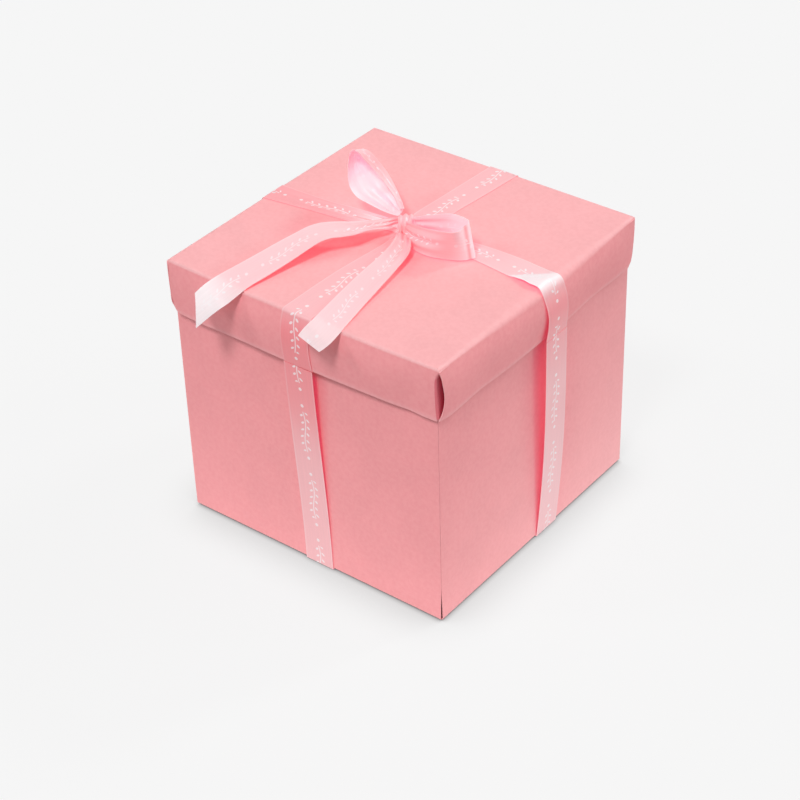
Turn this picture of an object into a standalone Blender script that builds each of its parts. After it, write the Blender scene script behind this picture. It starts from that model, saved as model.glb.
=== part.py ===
"""Explosion gift box: a lidded card cube whose layered walls fall open when the lid lifts off.

Metres, +Z up. The origin is on the table, under the middle of the box. The front wall faces -Y.
The model is closed, tied with its ribbon. Every moving piece has its origin on its fold line.
"""

import math

import bmesh
import bpy
from mathutils import Matrix, Vector

# Card and clearances
CARD = 0.0005
GAP = 0.0003
LID_SIDE_PLAY = 0.0015

# Lid and body
LID_WIDTH = 0.180
LID_DEPTH = 0.0315
TOTAL_HEIGHT = 0.166
FOLD_RADIUS = 0.0012
CORNER_SLIT = 0.0004
TAB_LENGTH = 0.011
TAB_RISE = 0.005
TAB_BITE = 0.0001

# The lid's lift at which the walls lie flat
OPEN_LIFT = 0.600
TUCK_SHARE = 0.85
SWING_MARGIN = 0.0005

# Small box in the middle
CENTRE_WIDTH = 0.060
CENTRE_HEIGHT = 0.050
CENTRE_LID_DEPTH = 0.015
CENTRE_LID_PLAY = 0.0006

# Satin ribbon
RIBBON_WIDTH = 0.019
RIBBON_THICK = 0.00025
BOW_THICK = 0.0003
RIBBON_PINCH = 0.007
STRAND_PLAY = 0.0003
CROSSING_RAMP = 0.004
FRONT_STRAND_X = 0.0015
BACK_STRAND_X = 0.0050
RIGHT_STRAND_Y = 0.0070
LEFT_STRAND_Y = -0.0030

# Knot and loops
KNOT_X = -0.0020
KNOT_Y = 0.0045
KNOT_RADIUS = 0.0056
KNOT_HALF_HEIGHT = 0.0046
LOOP_ROOT_SPLIT = 0.0011
REAR_LOOP_LENGTH = 0.044
REAR_LOOP_SPREAD = 0.014
REAR_LOOP_HEADING = math.radians(163)
REAR_LOOP_RISE = math.radians(30)
REAR_LOOP_TILTS = (math.radians(58), math.radians(24))
RIGHT_LOOP_LENGTH = 0.044
RIGHT_LOOP_SPREAD = 0.014
RIGHT_LOOP_HEADING = math.radians(-4)
RIGHT_LOOP_RISE = math.radians(5)
RIGHT_LOOP_TILTS = (math.radians(76), math.radians(80))
RIGHT_LOOP_ROOT_RISE = 0.0036

# Counts
FOLD_SEGMENTS = 3
SPAN_STEPS = 4
LOOP_STEPS = 28
KNOT_SEGMENTS = 20
KNOT_RINGS = 10
STRAND_FOLD_STEPS = 3

# Overrun of cutters past what they cut
OVERRUN = 0.002

# Worked out sizes
LID_HALF = LID_WIDTH / 2
LID_INNER_HALF = LID_HALF - CARD
BODY_HALF = LID_INNER_HALF - LID_SIDE_PLAY
SKIRT_BOTTOM = TOTAL_HEIGHT - LID_DEPTH
LID_UNDERSIDE = TOTAL_HEIGHT - CARD
OPEN_RATE = math.pi / 2 / OPEN_LIFT

BASE_Z = RIBBON_THICK + GAP
OUTER_REACH = SKIRT_BOTTOM - BASE_Z
OUTER_TUCK = TUCK_SHARE * LID_SIDE_PLAY / (OPEN_RATE * OUTER_REACH)
OUTER_TOP = SKIRT_BOTTOM + OUTER_TUCK

INNER_BASE_Z = BASE_Z + CARD + GAP
INNER_TOP = LID_UNDERSIDE - GAP
INNER_SWING = (INNER_TOP - INNER_BASE_Z) * math.sin(OPEN_RATE * LID_DEPTH)
INNER_HALF = LID_INNER_HALF - INNER_SWING - SWING_MARGIN

CENTRE_Z = INNER_BASE_Z + CARD + GAP
CENTRE_TOP = CENTRE_Z + CENTRE_HEIGHT
CENTRE_LID_HALF = CENTRE_WIDTH / 2 + CENTRE_LID_PLAY + CARD

STRAND_FOOT = BODY_HALF + STRAND_PLAY + RIBBON_THICK
STRAND_HEAD = LID_HALF + STRAND_PLAY + RIBBON_THICK
STRAND_TOP = SKIRT_BOTTOM - GAP
STRAND_LEAN = math.atan2(STRAND_HEAD - STRAND_FOOT, STRAND_TOP)
TOP_STRAND_Z = TOTAL_HEIGHT + STRAND_PLAY + RIBBON_THICK / 2
CROSSING_RISE = RIBBON_THICK + GAP
KNOT_Z = TOP_STRAND_Z + CROSSING_RISE + RIBBON_THICK / 2 + GAP + KNOT_HALF_HEIGHT

# Tails, station by station: the centre as shares of half the lid's width, its height above the
# lid as a share of the ribbon's width, the direction across the ribbon, and its width share
LONG_TAIL_SHARES = (
    (-0.094, 0.011, 0.37, -0.30, 0.50, 0.80, 0.30),
    (-0.172, -0.039, 0.35, -0.45, 0.60, 0.60, 0.65),
    (-0.287, -0.139, 0.34, -0.66, 0.75, 0.05, 0.97),
    (-0.378, -0.328, 0.32, -0.88, 0.45, -0.12, 1.00),
    (-0.417, -0.511, 0.25, -0.98, 0.20, 0.00, 1.00),
    (-0.432, -0.689, 0.20, -0.98, 0.20, 0.00, 1.00),
    (-0.459, -0.933, 0.16, -0.99, 0.10, 0.03, 1.00),
    (-0.505, -1.022, 0.02, -0.93, 0.33, 0.10, 1.00),
    (-0.568, -1.078, -0.31, -0.85, 0.50, 0.16, 1.00),
    (-0.677, -1.122, -0.85, -0.60, 0.75, 0.28, 1.00),
)
FRONT_TAIL_SHARES = (
    (0.017, -0.033, 0.32, -0.90, -0.10, 0.35, 0.35),
    (0.072, -0.144, 0.37, -0.93, -0.05, 0.36, 0.70),
    (0.156, -0.378, 0.42, -0.92, -0.10, 0.30, 0.92),
    (0.237, -0.727, 0.38, -0.84, -0.37, 0.40, 1.00),
    (0.280, -1.000, 0.27, -0.88, -0.16, 0.45, 1.00),
    (0.250, -1.078, -0.08, -0.95, 0.05, 0.25, 1.00),
    (0.176, -1.113, -0.42, -0.97, 0.25, 0.00, 0.97),
)

CARD_COLOUR = (0.86, 0.36, 0.38, 1.0)
INNER_COLOUR = (0.90, 0.47, 0.49, 1.0)
RIBBON_COLOUR = (0.93, 0.60, 0.64, 1.0)
CARD_ROUGHNESS = 0.85
RIBBON_ROUGHNESS = 0.35


def clear_scene():
    for old in list(bpy.data.objects):
        bpy.data.objects.remove(old, do_unlink=True)
    for old in list(bpy.data.collections):
        bpy.data.collections.remove(old)


def make_collection(name):
    collection = bpy.data.collections.new(name)
    bpy.context.scene.collection.children.link(collection)
    return collection


def make_material(name, colour, roughness):
    material = bpy.data.materials.new(name)
    material.use_nodes = True
    shader = material.node_tree.nodes["Principled BSDF"]
    shader.inputs["Base Color"].default_value = colour
    shader.inputs["Roughness"].default_value = roughness
    shader.inputs["Metallic"].default_value = 0.0
    material.diffuse_color = colour
    return material


def add_object(name, mesh_builder, collection, material=None, place=Matrix.Identity(4)):
    """Makes an object from a bmesh, placed by its matrix, with the points given in world space."""
    mesh = bpy.data.meshes.new(name)
    mesh_builder.transform(place.inverted())
    mesh_builder.to_mesh(mesh)
    mesh_builder.free()
    obj = bpy.data.objects.new(name, mesh)
    obj.matrix_world = place
    collection.objects.link(obj)
    if material:
        mesh.materials.append(material)
    return obj


def add_block(builder, low, high):
    """Adds a box between two corners."""
    low = Vector(low)
    high = Vector(high)
    place = Matrix.Translation((low + high) / 2) @ Matrix.Diagonal((*(high - low), 1))
    return bmesh.ops.create_cube(builder, size=1, matrix=place)["verts"]


def block(low, high):
    builder = bmesh.new()
    add_block(builder, low, high)
    return builder


def solidify(obj, thickness, offset):
    modifier = obj.modifiers.new("card", "SOLIDIFY")
    modifier.thickness = thickness
    modifier.offset = offset
    modifier.use_even_offset = True


def boolean(obj, other, operation):
    modifier = obj.modifiers.new(operation.lower(), "BOOLEAN")
    modifier.operation = operation
    modifier.object = other
    modifier.solver = "EXACT"


def quarter(turns):
    """Turns about Z by quarter turns: 0 is the front side, -Y, then right, back and left."""
    return Matrix.Rotation(turns * math.pi / 2, 4, "Z")


def open_box(half, bottom, top, mouth):
    """The outer skin of a box without its top or its bottom: mouth is 1 for an open top, -1 below."""
    builder = block((-half, -half, bottom), (half, half, top))
    builder.normal_update()
    missing = [face for face in builder.faces if face.normal.z * mouth > math.cos(math.pi / 4)]
    bmesh.ops.delete(builder, geom=missing, context="FACES_ONLY")
    return builder


def cap_skin(half, bottom, top, radius):
    """The outer skin of a cap: a roof with a rounded fold down to four sides, open below."""
    builder = open_box(half, bottom, top, -1)
    middle = (bottom + top) / 2
    rim = [edge for edge in builder.edges if all(vert.co.z > middle for vert in edge.verts)]
    bmesh.ops.bevel(builder, geom=rim, offset=radius, segments=FOLD_SEGMENTS, profile=0.5, affect="EDGES")
    return builder


def make_lid(parts, cutters, card):
    lid = add_object("lid", cap_skin(LID_HALF, SKIRT_BOTTOM, TOTAL_HEIGHT, FOLD_RADIUS), parts, card)
    solidify(lid, CARD, -1)
    slits = bmesh.new()
    tabs = bmesh.new()
    slit_top = TOTAL_HEIGHT - FOLD_RADIUS - CARD
    for turns in range(4):
        corner = quarter(turns) @ Matrix.Translation((LID_HALF, LID_HALF, 0)) @ Matrix.Rotation(math.pi / 4, 4, "Z")
        slit = add_block(
            slits,
            (-CARD * 2, -CORNER_SLIT / 2, SKIRT_BOTTOM - OVERRUN),
            (OVERRUN, CORNER_SLIT / 2, slit_top),
        )
        bmesh.ops.transform(slits, matrix=corner, verts=slit)
        low = SKIRT_BOTTOM + TAB_RISE
        outer = LID_INNER_HALF + TAB_BITE
        inner = LID_INNER_HALF - CARD
        reach = LID_INNER_HALF - TAB_LENGTH
        along = add_block(tabs, (reach, inner, low), (outer, outer, LID_UNDERSIDE + TAB_BITE))
        across = add_block(tabs, (inner, reach, low), (outer, outer, LID_UNDERSIDE + TAB_BITE))
        bmesh.ops.transform(tabs, matrix=quarter(turns), verts=along + across)
    slit_cutter = add_object("corner_slits", slits, cutters)
    tab_adder = add_object("corner_tabs", tabs, cutters)
    boolean(lid, slit_cutter, "DIFFERENCE")
    boolean(lid, tab_adder, "UNION")
    lid.modifiers[-1].use_self = True
    return lid


def wall_blank(half, bottom, top):
    """A wall on the front side: a plate with mitred side edges, its outer face at -half."""
    builder = bmesh.new()
    outer = half - GAP / 2
    inner = outer - CARD
    verts = add_block(builder, (-1, -half, bottom), (1, -half + CARD, top))
    for vert in verts:
        reach = outer if vert.co.y < -half + CARD / 2 else inner
        vert.co.x = math.copysign(reach, vert.co.x)
    return builder


def make_walls(layer, half, bottom, top, parts, card):
    """Four walls with their fold lines on the outer bottom edges, so that they open flat."""
    for turns, side in enumerate(("front", "right", "back", "left")):
        builder = wall_blank(half, bottom, top)
        builder.transform(quarter(turns))
        hinge = quarter(turns) @ Matrix.Translation((0, -half, bottom))
        add_object(f"{layer}_{side}_wall", builder, parts, card, hinge)


def make_base(name, half, bottom, parts, card):
    reach = half - CARD - GAP
    return add_object(name, block((-reach, -reach, bottom), (reach, reach, bottom + CARD)), parts, card)


def make_centre_box(parts, card):
    tray = add_object("centre_box", open_box(CENTRE_WIDTH / 2, CENTRE_Z, CENTRE_TOP, 1), parts, card)
    solidify(tray, CARD, -1)
    roof = CENTRE_TOP + GAP + CARD
    cap_mesh = cap_skin(CENTRE_LID_HALF, roof - CENTRE_LID_DEPTH, roof, FOLD_RADIUS)
    cap = add_object("centre_box_lid", cap_mesh, parts, card)
    solidify(cap, CARD, -1)


def catmull_rom(rows, steps):
    """Reads a smooth curve through rows of numbers, with this many steps between two rows."""
    padded = [[2 * a - b for a, b in zip(rows[0], rows[1])], *rows]
    padded.append([2 * a - b for a, b in zip(rows[-1], rows[-2])])
    smooth = []
    for index in range(1, len(padded) - 2):
        before, start, end, after = padded[index - 1 : index + 3]
        for step in range(steps):
            t = step / steps
            row = []
            for p, q, r, s in zip(before, start, end, after):
                bend = (-p + 3 * q - 3 * r + s) * t**3 + (2 * p - 5 * q + 4 * r - s) * t**2 + (r - p) * t
                row.append(q + bend / 2)
            smooth.append(row)
    smooth.append(list(rows[-1]))
    return smooth


def ribbon_sheet(rows):
    """An open strip: rows of a centre point, a direction across and a half width."""
    builder = bmesh.new()
    edges = []
    for centre, across, half in rows:
        left = builder.verts.new(centre + across * half)
        right = builder.verts.new(centre - across * half)
        edges.append((left, right))
    for (a, b), (c, d) in zip(edges, edges[1:]):
        builder.faces.new((a, b, d, c))
    return builder


def make_strand(name, parts, satin, from_side, to_side, rise):
    """A flat strand over the lid: up one skirt, across the top and down the skirt opposite.

    from_side and to_side are the places where it crosses the lid's edges; rise lifts its middle
    over the strand that it crosses.
    """
    start = Vector((*from_side, 0))
    end = Vector((*to_side, 0))
    run = (end - start).normalized()
    across = Vector((0, 1, 0)) if abs(run.x) > abs(run.y) else Vector((1, 0, 0))
    reach = STRAND_HEAD - RIBBON_THICK / 2
    fold = FOLD_RADIUS + STRAND_PLAY
    outward_start = start * (reach / LID_HALF)
    outward_end = end * (reach / LID_HALF)
    half = RIBBON_WIDTH / 2
    up = Vector((0, 0, 1))
    rows = [(outward_start + up * SKIRT_BOTTOM, across, half)]
    for side, point, inward in (("up", outward_start, run), ("down", outward_end, -run)):
        arc = []
        for step in range(STRAND_FOLD_STEPS + 1):
            angle = math.pi / 2 * step / STRAND_FOLD_STEPS
            level = TOP_STRAND_Z - fold * (1 - math.sin(angle))
            arc.append((point + inward * fold * (1 - math.cos(angle)) + up * level, across, half))
        if side == "up":
            rows += arc
            if rise:
                clear = RIBBON_WIDTH / 2 + RIBBON_WIDTH * abs(RIGHT_STRAND_Y - LEFT_STRAND_Y) / LID_WIDTH
                crossing = Vector((0, (RIGHT_STRAND_Y + LEFT_STRAND_Y) / 2, 0))
                for offset, lift in (
                    (-clear - CROSSING_RAMP, 0),
                    (-clear - GAP, rise),
                    (clear + GAP, rise),
                    (clear + CROSSING_RAMP, 0),
                ):
                    along = start + run * ((crossing - start).dot(run) + offset)
                    rows.append((along + up * (TOP_STRAND_Z + lift), across, half))
        else:
            rows += reversed(arc)
    rows.append((outward_end + up * SKIRT_BOTTOM, across, half))
    strand = add_object(name, ribbon_sheet(rows), parts, satin)
    solidify(strand, RIBBON_THICK, 0)


def make_side_strands(parts, satin):
    """The ribbon's run down each wall, standing off it at the top, with its fold at the floor."""
    places = (FRONT_STRAND_X, RIGHT_STRAND_Y, -BACK_STRAND_X, -LEFT_STRAND_Y)
    length = STRAND_TOP / math.cos(STRAND_LEAN)
    for turns, side in enumerate(("front", "right", "back", "left")):
        builder = block(
            (places[turns] - RIBBON_WIDTH / 2, 0, RIBBON_THICK * math.tan(STRAND_LEAN)),
            (places[turns] + RIBBON_WIDTH / 2, RIBBON_THICK, length),
        )
        builder.transform(Matrix.Rotation(STRAND_LEAN, 4, "X"))
        hinge = quarter(turns) @ Matrix.Translation((0, -STRAND_FOOT, 0))
        builder.transform(hinge)
        add_object(f"ribbon_{side}_strand", builder, parts, satin, hinge)


def make_under_cross(parts, cutters, satin):
    """The two runs of ribbon under the box, one flat cross."""
    def bar(start_place, end_place):
        builder = block((-BODY_HALF, -RIBBON_WIDTH / 2, 0), (BODY_HALF, RIBBON_WIDTH / 2, RIBBON_THICK))
        for vert in builder.verts:
            vert.co.y += start_place if vert.co.x < 0 else end_place
        return builder

    cross = add_object("ribbon_under_cross", bar(LEFT_STRAND_Y, RIGHT_STRAND_Y), parts, satin)
    long_bar = bar(-FRONT_STRAND_X, -BACK_STRAND_X)
    long_bar.transform(quarter(1))
    boolean(cross, add_object("under_bar", long_bar, cutters), "UNION")


def make_knot(parts, satin):
    builder = bmesh.new()
    scale = Matrix.Diagonal((KNOT_RADIUS, KNOT_RADIUS, KNOT_HALF_HEIGHT, 1))
    place = Matrix.Translation((KNOT_X, KNOT_Y, KNOT_Z)) @ scale
    bmesh.ops.create_uvsphere(builder, u_segments=KNOT_SEGMENTS, v_segments=KNOT_RINGS, radius=1, matrix=place)
    knot = add_object("ribbon_knot", builder, parts, satin)
    knot.data.shade_smooth()


def pinched(distance):
    """The ribbon's half width this far from the knot, where it is gathered."""
    opening = min(1, max(0, distance / RIBBON_WIDTH))
    ease = opening * opening * (3 - 2 * opening)
    return (RIBBON_PINCH + (RIBBON_WIDTH - RIBBON_PINCH) * ease) / 2


def make_loop(name, length, spread, heading, rise, tilts, root_rise, parts, satin):
    """A bow loop: out from the knot along one ply, round the tip and back along the other."""
    out = Vector((math.cos(heading) * math.cos(rise), math.sin(heading) * math.cos(rise), math.sin(rise)))
    level = Vector((0, 0, 1)).cross(out).normalized()
    upright = out.cross(level)
    root = Vector((KNOT_X, KNOT_Y, KNOT_Z + root_rise)) + out * (KNOT_RADIUS + GAP + BOW_THICK)
    rows = []
    for step in range(LOOP_STEPS + 1):
        t = step / LOOP_STEPS
        tilt = tilts[0] + (tilts[1] - tilts[0]) * t
        across = level * math.cos(tilt) + upright * math.sin(tilt)
        aside = upright * math.cos(tilt) - level * math.sin(tilt)
        reach = length * math.sin(math.pi * t)
        sideways = spread / 2 * math.sin(2 * math.pi * t) + LOOP_ROOT_SPLIT * math.cos(math.pi * t)
        rows.append((root + out * reach + aside * sideways, across, pinched(reach)))
    loop = add_object(name, ribbon_sheet(rows), parts, satin)
    solidify(loop, BOW_THICK, 0)


def make_tail(name, shares, parts, satin):
    """A free end of the ribbon, laid through its stations over the lid and past its front edge."""
    rows = []
    for x_share, y_share, rise_share, *across, width_share in catmull_rom(shares, SPAN_STEPS):
        level = TOTAL_HEIGHT + rise_share * RIBBON_WIDTH
        centre = Vector((x_share * LID_HALF, y_share * LID_HALF, level))
        rows.append((centre, Vector(across).normalized(), width_share * RIBBON_WIDTH / 2))
    tail = add_object(name, ribbon_sheet(rows), parts, satin)
    solidify(tail, BOW_THICK, 0)


def main():
    clear_scene()
    parts = make_collection("explosion_gift_box")
    cutters = make_collection("cutters")
    card = make_material("pink_card", CARD_COLOUR, CARD_ROUGHNESS)
    inner_card = make_material("inner_card", INNER_COLOUR, CARD_ROUGHNESS)
    satin = make_material("satin_ribbon", RIBBON_COLOUR, RIBBON_ROUGHNESS)

    make_base("outer_base", BODY_HALF, BASE_Z, parts, card)
    make_walls("outer", BODY_HALF, BASE_Z, OUTER_TOP, parts, card)
    make_base("inner_base", INNER_HALF, INNER_BASE_Z, parts, inner_card)
    make_walls("inner", INNER_HALF, INNER_BASE_Z, INNER_TOP, parts, inner_card)
    make_centre_box(parts, card)
    make_lid(parts, cutters, card)

    make_under_cross(parts, cutters, satin)
    make_side_strands(parts, satin)
    make_strand(
        "ribbon_cross_strand", parts, satin, (-LID_HALF, LEFT_STRAND_Y), (LID_HALF, RIGHT_STRAND_Y), 0
    )
    make_strand(
        "ribbon_long_strand", parts, satin, (FRONT_STRAND_X, -LID_HALF), (BACK_STRAND_X, LID_HALF), CROSSING_RISE
    )
    make_knot(parts, satin)
    make_loop(
        "ribbon_rear_loop", REAR_LOOP_LENGTH, REAR_LOOP_SPREAD, REAR_LOOP_HEADING, REAR_LOOP_RISE,
        REAR_LOOP_TILTS, 0, parts, satin,
    )
    make_loop(
        "ribbon_right_loop", RIGHT_LOOP_LENGTH, RIGHT_LOOP_SPREAD, RIGHT_LOOP_HEADING, RIGHT_LOOP_RISE,
        RIGHT_LOOP_TILTS, RIGHT_LOOP_ROOT_RISE, parts, satin,
    )
    make_tail("ribbon_long_tail", LONG_TAIL_SHARES, parts, satin)
    make_tail("ribbon_front_tail", FRONT_TAIL_SHARES, parts, satin)

    for cutter in cutters.objects:
        cutter.hide_render = True
        cutter.display_type = "WIRE"


main()
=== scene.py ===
import math
from functools import partial

import bmesh
import bpy
import numpy as np
from bpy.props import FloatProperty, FloatVectorProperty, PointerProperty
from mathutils import Matrix, Vector


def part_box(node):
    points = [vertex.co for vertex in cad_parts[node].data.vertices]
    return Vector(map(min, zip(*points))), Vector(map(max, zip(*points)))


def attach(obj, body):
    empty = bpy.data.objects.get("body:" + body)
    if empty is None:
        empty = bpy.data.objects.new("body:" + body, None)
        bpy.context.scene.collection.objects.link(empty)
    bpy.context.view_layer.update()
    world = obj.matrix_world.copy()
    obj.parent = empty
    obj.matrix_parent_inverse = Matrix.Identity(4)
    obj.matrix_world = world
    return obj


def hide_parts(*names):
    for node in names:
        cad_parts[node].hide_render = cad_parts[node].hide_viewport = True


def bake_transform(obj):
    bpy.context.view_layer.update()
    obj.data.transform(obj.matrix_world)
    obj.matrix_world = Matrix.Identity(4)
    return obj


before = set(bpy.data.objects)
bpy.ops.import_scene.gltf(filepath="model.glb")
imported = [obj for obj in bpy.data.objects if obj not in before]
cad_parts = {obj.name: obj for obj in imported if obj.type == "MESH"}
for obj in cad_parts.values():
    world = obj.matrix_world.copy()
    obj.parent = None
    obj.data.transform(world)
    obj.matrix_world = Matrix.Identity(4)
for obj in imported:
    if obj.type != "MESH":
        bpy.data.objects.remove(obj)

bl_info = {
    "name": "Explosion gift box",
    "version": (1, 0, 0),
    "blender": (4, 5, 0),
    "location": "View3D > Sidebar > Gift box",
    "description": "Dresses the packed gift box: folded card, satin ribbon with a bow, pale stage",
    "category": "Object",
}

MM = 0.001
SHARP_FROM = math.radians(35)
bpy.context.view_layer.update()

# Each side of the box: the direction out of it, and the direction along it
SIDES = {
    "front": ((0, -1), (1, 0)),
    "right": ((1, 0), (0, 1)),
    "back": ((0, 1), (-1, 0)),
    "left": ((-1, 0), (0, -1)),
}

# Camera, measured from the twelve corners of the box in the photograph
CAMERA_PLACE = Vector((0.60660, -0.76995, 0.75771))
CAMERA_AZIMUTH = math.radians(38.5)
CAMERA_ELEVATION = math.radians(35.5)
CAMERA_ROLL = math.radians(-1.87)
CAMERA_LENS = 95.38
CAMERA_SENSOR = 36.0


def node_box(name):
    """A node's lowest and highest corner, in millimetres."""
    low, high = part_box(name)
    return np.array(low) / MM, np.array(high) / MM


LID_LOW, LID_HIGH = node_box("lid")
LID_HALF = float(LID_HIGH[0])
LID_TOP = float(LID_HIGH[2])
SKIRT_BOTTOM = float(LID_LOW[2])
SKIRT_DEPTH = LID_TOP - SKIRT_BOTTOM
WALL_LOW, WALL_HIGH = node_box("outer_front_wall")
WALL_HALF = float(-WALL_LOW[1])
WALL_BOTTOM = float(WALL_LOW[2])
WALL_TOP = float(WALL_HIGH[2])
KNOT_LOW, KNOT_HIGH = node_box("ribbon_knot")
KNOT = (KNOT_LOW + KNOT_HIGH) / 2


def through(stations, places):
    """Reads a smooth curve through stations of (place, value, ...) at the given places."""
    rows = np.array(stations, float)
    marks, values = rows[:, 0], rows[:, 1:]
    places = np.clip(np.asarray(places, float), marks[0], marks[-1])
    slopes = np.gradient(values, marks, axis=0)
    index = np.clip(np.searchsorted(marks, places, side="right") - 1, 0, len(marks) - 2)
    width = (marks[index + 1] - marks[index])[..., None]
    t = (places - marks[index])[..., None] / width
    start, end = values[index], values[index + 1]
    smooth = (
        start * (1 + 2 * t) * (1 - t) ** 2
        + end * t * t * (3 - 2 * t)
        + slopes[index] * width * t * (1 - t) ** 2
        - slopes[index + 1] * width * t * t * (1 - t)
    )
    return smooth[..., 0] if smooth.shape[-1] == 1 else smooth


def ease(value):
    """A smooth step from 0 to 1."""
    value = np.clip(value, 0, 1)
    return value * value * (3 - 2 * value)


def side_points(side, along, outward, level):
    """Points of one side of the box, from places along it, distances out and heights."""
    out, run = SIDES[side]
    along, outward, level = np.broadcast_arrays(along, outward, level)
    x, y = (run[axis] * along + out[axis] * outward for axis in (0, 1))
    return np.stack([x, y, level], axis=-1)


def object_from(builder, name):
    """Puts what a mesh builder holds into a new object of the scene."""
    mesh = bpy.data.meshes.new(name)
    builder.to_mesh(mesh)
    builder.free()
    obj = bpy.data.objects.new(name, mesh)
    bpy.context.scene.collection.objects.link(obj)
    return obj


def shade_with_creases(mesh):
    """Shades a mesh smooth, apart from its creases and cut edges."""
    mesh.shade_smooth()
    mesh.set_sharp_from_angle(angle=SHARP_FROM)


def sheet_object(name, grids, marks, runs=None, weld=0.02):
    """An open sheet of faces through grids of points in millimetres, welded where grids meet.

    marks gives named shares from 0 to 1 at each point, such as how sharply it is folded.
    runs gives each point's place on the ribbon, across and along it, in metres.
    """
    builder = bmesh.new()
    run_layer = builder.loops.layers.uv.new("run") if runs is not None else None
    layers = {mark: builder.verts.layers.float.new(mark) for mark in marks}
    for number, grid in enumerate(grids):
        rows, columns = grid.shape[:2]
        made = [[builder.verts.new(point * MM) for point in row] for row in grid]
        for mark, layer in layers.items():
            shares = np.broadcast_to(marks[mark][number], (rows, columns))
            for i in range(rows):
                for j in range(columns):
                    made[i][j][layer] = float(shares[i, j])
        for i in range(rows - 1):
            for j in range(columns - 1):
                corners = ((i, j), (i, j + 1), (i + 1, j + 1), (i + 1, j))
                face = builder.faces.new([made[a][b] for a, b in corners])
                face.smooth = True
                if run_layer:
                    for loop, (a, b) in zip(face.loops, corners):
                        loop[run_layer].uv = runs[number][a, b]
    bmesh.ops.remove_doubles(builder, verts=builder.verts, dist=weld * MM)
    return object_from(builder, name)


def thicken(obj, thickness, offset, finishes):
    """Gives a sheet its thickness in metres, with its last finish on the cut edges."""
    for finish in finishes:
        obj.data.materials.append(finish)
    solid = obj.modifiers.new("thickness", "SOLIDIFY")
    solid.thickness = thickness
    solid.offset = offset
    solid.material_offset_rim = len(finishes) - 1
    view = bpy.context.evaluated_depsgraph_get()
    mesh = bpy.data.meshes.new_from_object(obj.evaluated_get(view))
    obj.modifiers.clear()
    obj.data = mesh
    mesh.name = obj.name
    shade_with_creases(mesh)


def node(tree, kind, inputs=None, **settings):
    """Adds a shader node. An input is a value, or another node's socket."""
    made = tree.nodes.new(kind)
    for key, value in settings.items():
        setattr(made, key, value)
    for key, value in (inputs or {}).items():
        if isinstance(value, bpy.types.NodeSocket):
            tree.links.new(value, made.inputs[key])
        else:
            made.inputs[key].default_value = value
    return made


def maths(tree, operation, *values):
    """What a sum of numbers or sockets gives."""
    return node(tree, "ShaderNodeMath", dict(enumerate(values)), operation=operation).outputs[0]


def sums(tree, *operations):
    """The named sums of a tree, each ready to be called on its numbers or sockets."""
    return [partial(maths, tree, operation) for operation in operations]


def new_tree(name):
    """A new material, and its empty node tree."""
    made = bpy.data.materials.new(name)
    made.use_nodes = True
    made.node_tree.nodes.clear()
    return made, made.node_tree


def finished(made, tree, surface, colour):
    """A material with this surface, and a plain colour for the viewport."""
    output = node(tree, "ShaderNodeOutputMaterial")
    tree.links.new(surface, output.inputs["Surface"])
    made.diffuse_color = colour
    return made


def noise(tree, vector, scale, detail=2.0, roughness=0.5, distortion=0.0):
    """Noise at a place. Scales are per metre."""
    inputs = {
        "Vector": vector,
        "Scale": scale,
        "Detail": detail,
        "Roughness": roughness,
        "Distortion": distortion,
    }
    return node(tree, "ShaderNodeTexNoise", inputs).outputs["Fac"]


def mixed(tree, factor, first, second, blend="MIX"):
    """Two colours mixed."""
    made = node(tree, "ShaderNodeMix", data_type="RGBA", blend_type=blend)
    for index, value in ((0, factor), (6, first), (7, second)):
        if isinstance(value, bpy.types.NodeSocket):
            tree.links.new(value, made.inputs[index])
        else:
            made.inputs[index].default_value = value
    return made.outputs[2]


def mixed_surfaces(tree, share, first, second):
    """Two shaders mixed, by the share of the second."""
    return node(tree, "ShaderNodeMixShader", {0: share, 1: first, 2: second}).outputs[0]


def ranged(tree, value, low, high, to_low=0.0, to_high=1.0, smooth=True):
    """A number that goes from one value to another while its source goes from low to high."""
    inputs = {"Value": value, "From Min": low, "From Max": high}
    inputs.update({"To Min": to_low, "To Max": to_high})
    shape = "SMOOTHSTEP" if smooth else "LINEAR"
    return node(tree, "ShaderNodeMapRange", inputs, interpolation_type=shape).outputs["Result"]


def bumped(tree, strength, distance, height):
    """The normal of a surface with a fine relief."""
    inputs = {"Strength": strength, "Distance": distance, "Height": height}
    return node(tree, "ShaderNodeBump", inputs).outputs[0]


def marked(tree, name):
    """The share that a piece's points carry under this name."""
    return node(tree, "ShaderNodeAttribute", attribute_name=name).outputs["Fac"]


def grey_of(tree, value):
    """A number as a grey."""
    return node(tree, "ShaderNodeCombineColor", {0: value, 1: value, 2: value}).outputs[0]


def toward(colour, other, share):
    """A colour moved towards another."""
    return (*(a + (b - a) * share for a, b in zip(colour[:3], other[:3])), 1.0)


# Card: the scale, detail, roughness and distortion of its cloud, fibre, grain and speck
CARD_NOISES = (
    (38.0, 3.0, 0.55, 0.0),
    (2600.0, 3.0, 0.6, 0.4),
    (900.0, 4.0, 0.65, 0.0),
    (420.0, 2.0, 0.5, 0.0),
)
CARD_ROUGHNESS = (0.74, 0.86)
CARD_SPECULAR = 0.28
CARD_RELIEF = (0.22, 0.00006)
CLOUD_TONE = (0.975, 1.015)
SPECK_TONE = (0.985, 1.012)
FIBRE_PALE = 0.10
SPECK_PALE = 0.045
# Paler along folds and the hem: partly worn card, partly painted highlight
FOLD_PALE = (0.12, 0.30)
EDGE_PALE = 0.22
PALE_PINK = (1.0, 0.86, 0.86, 1.0)
# Deep pink painted as shade inside the lid's corner gaps
PAINTED_SHADE_PINK = (0.72, 0.055, 0.11, 1.0)


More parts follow.
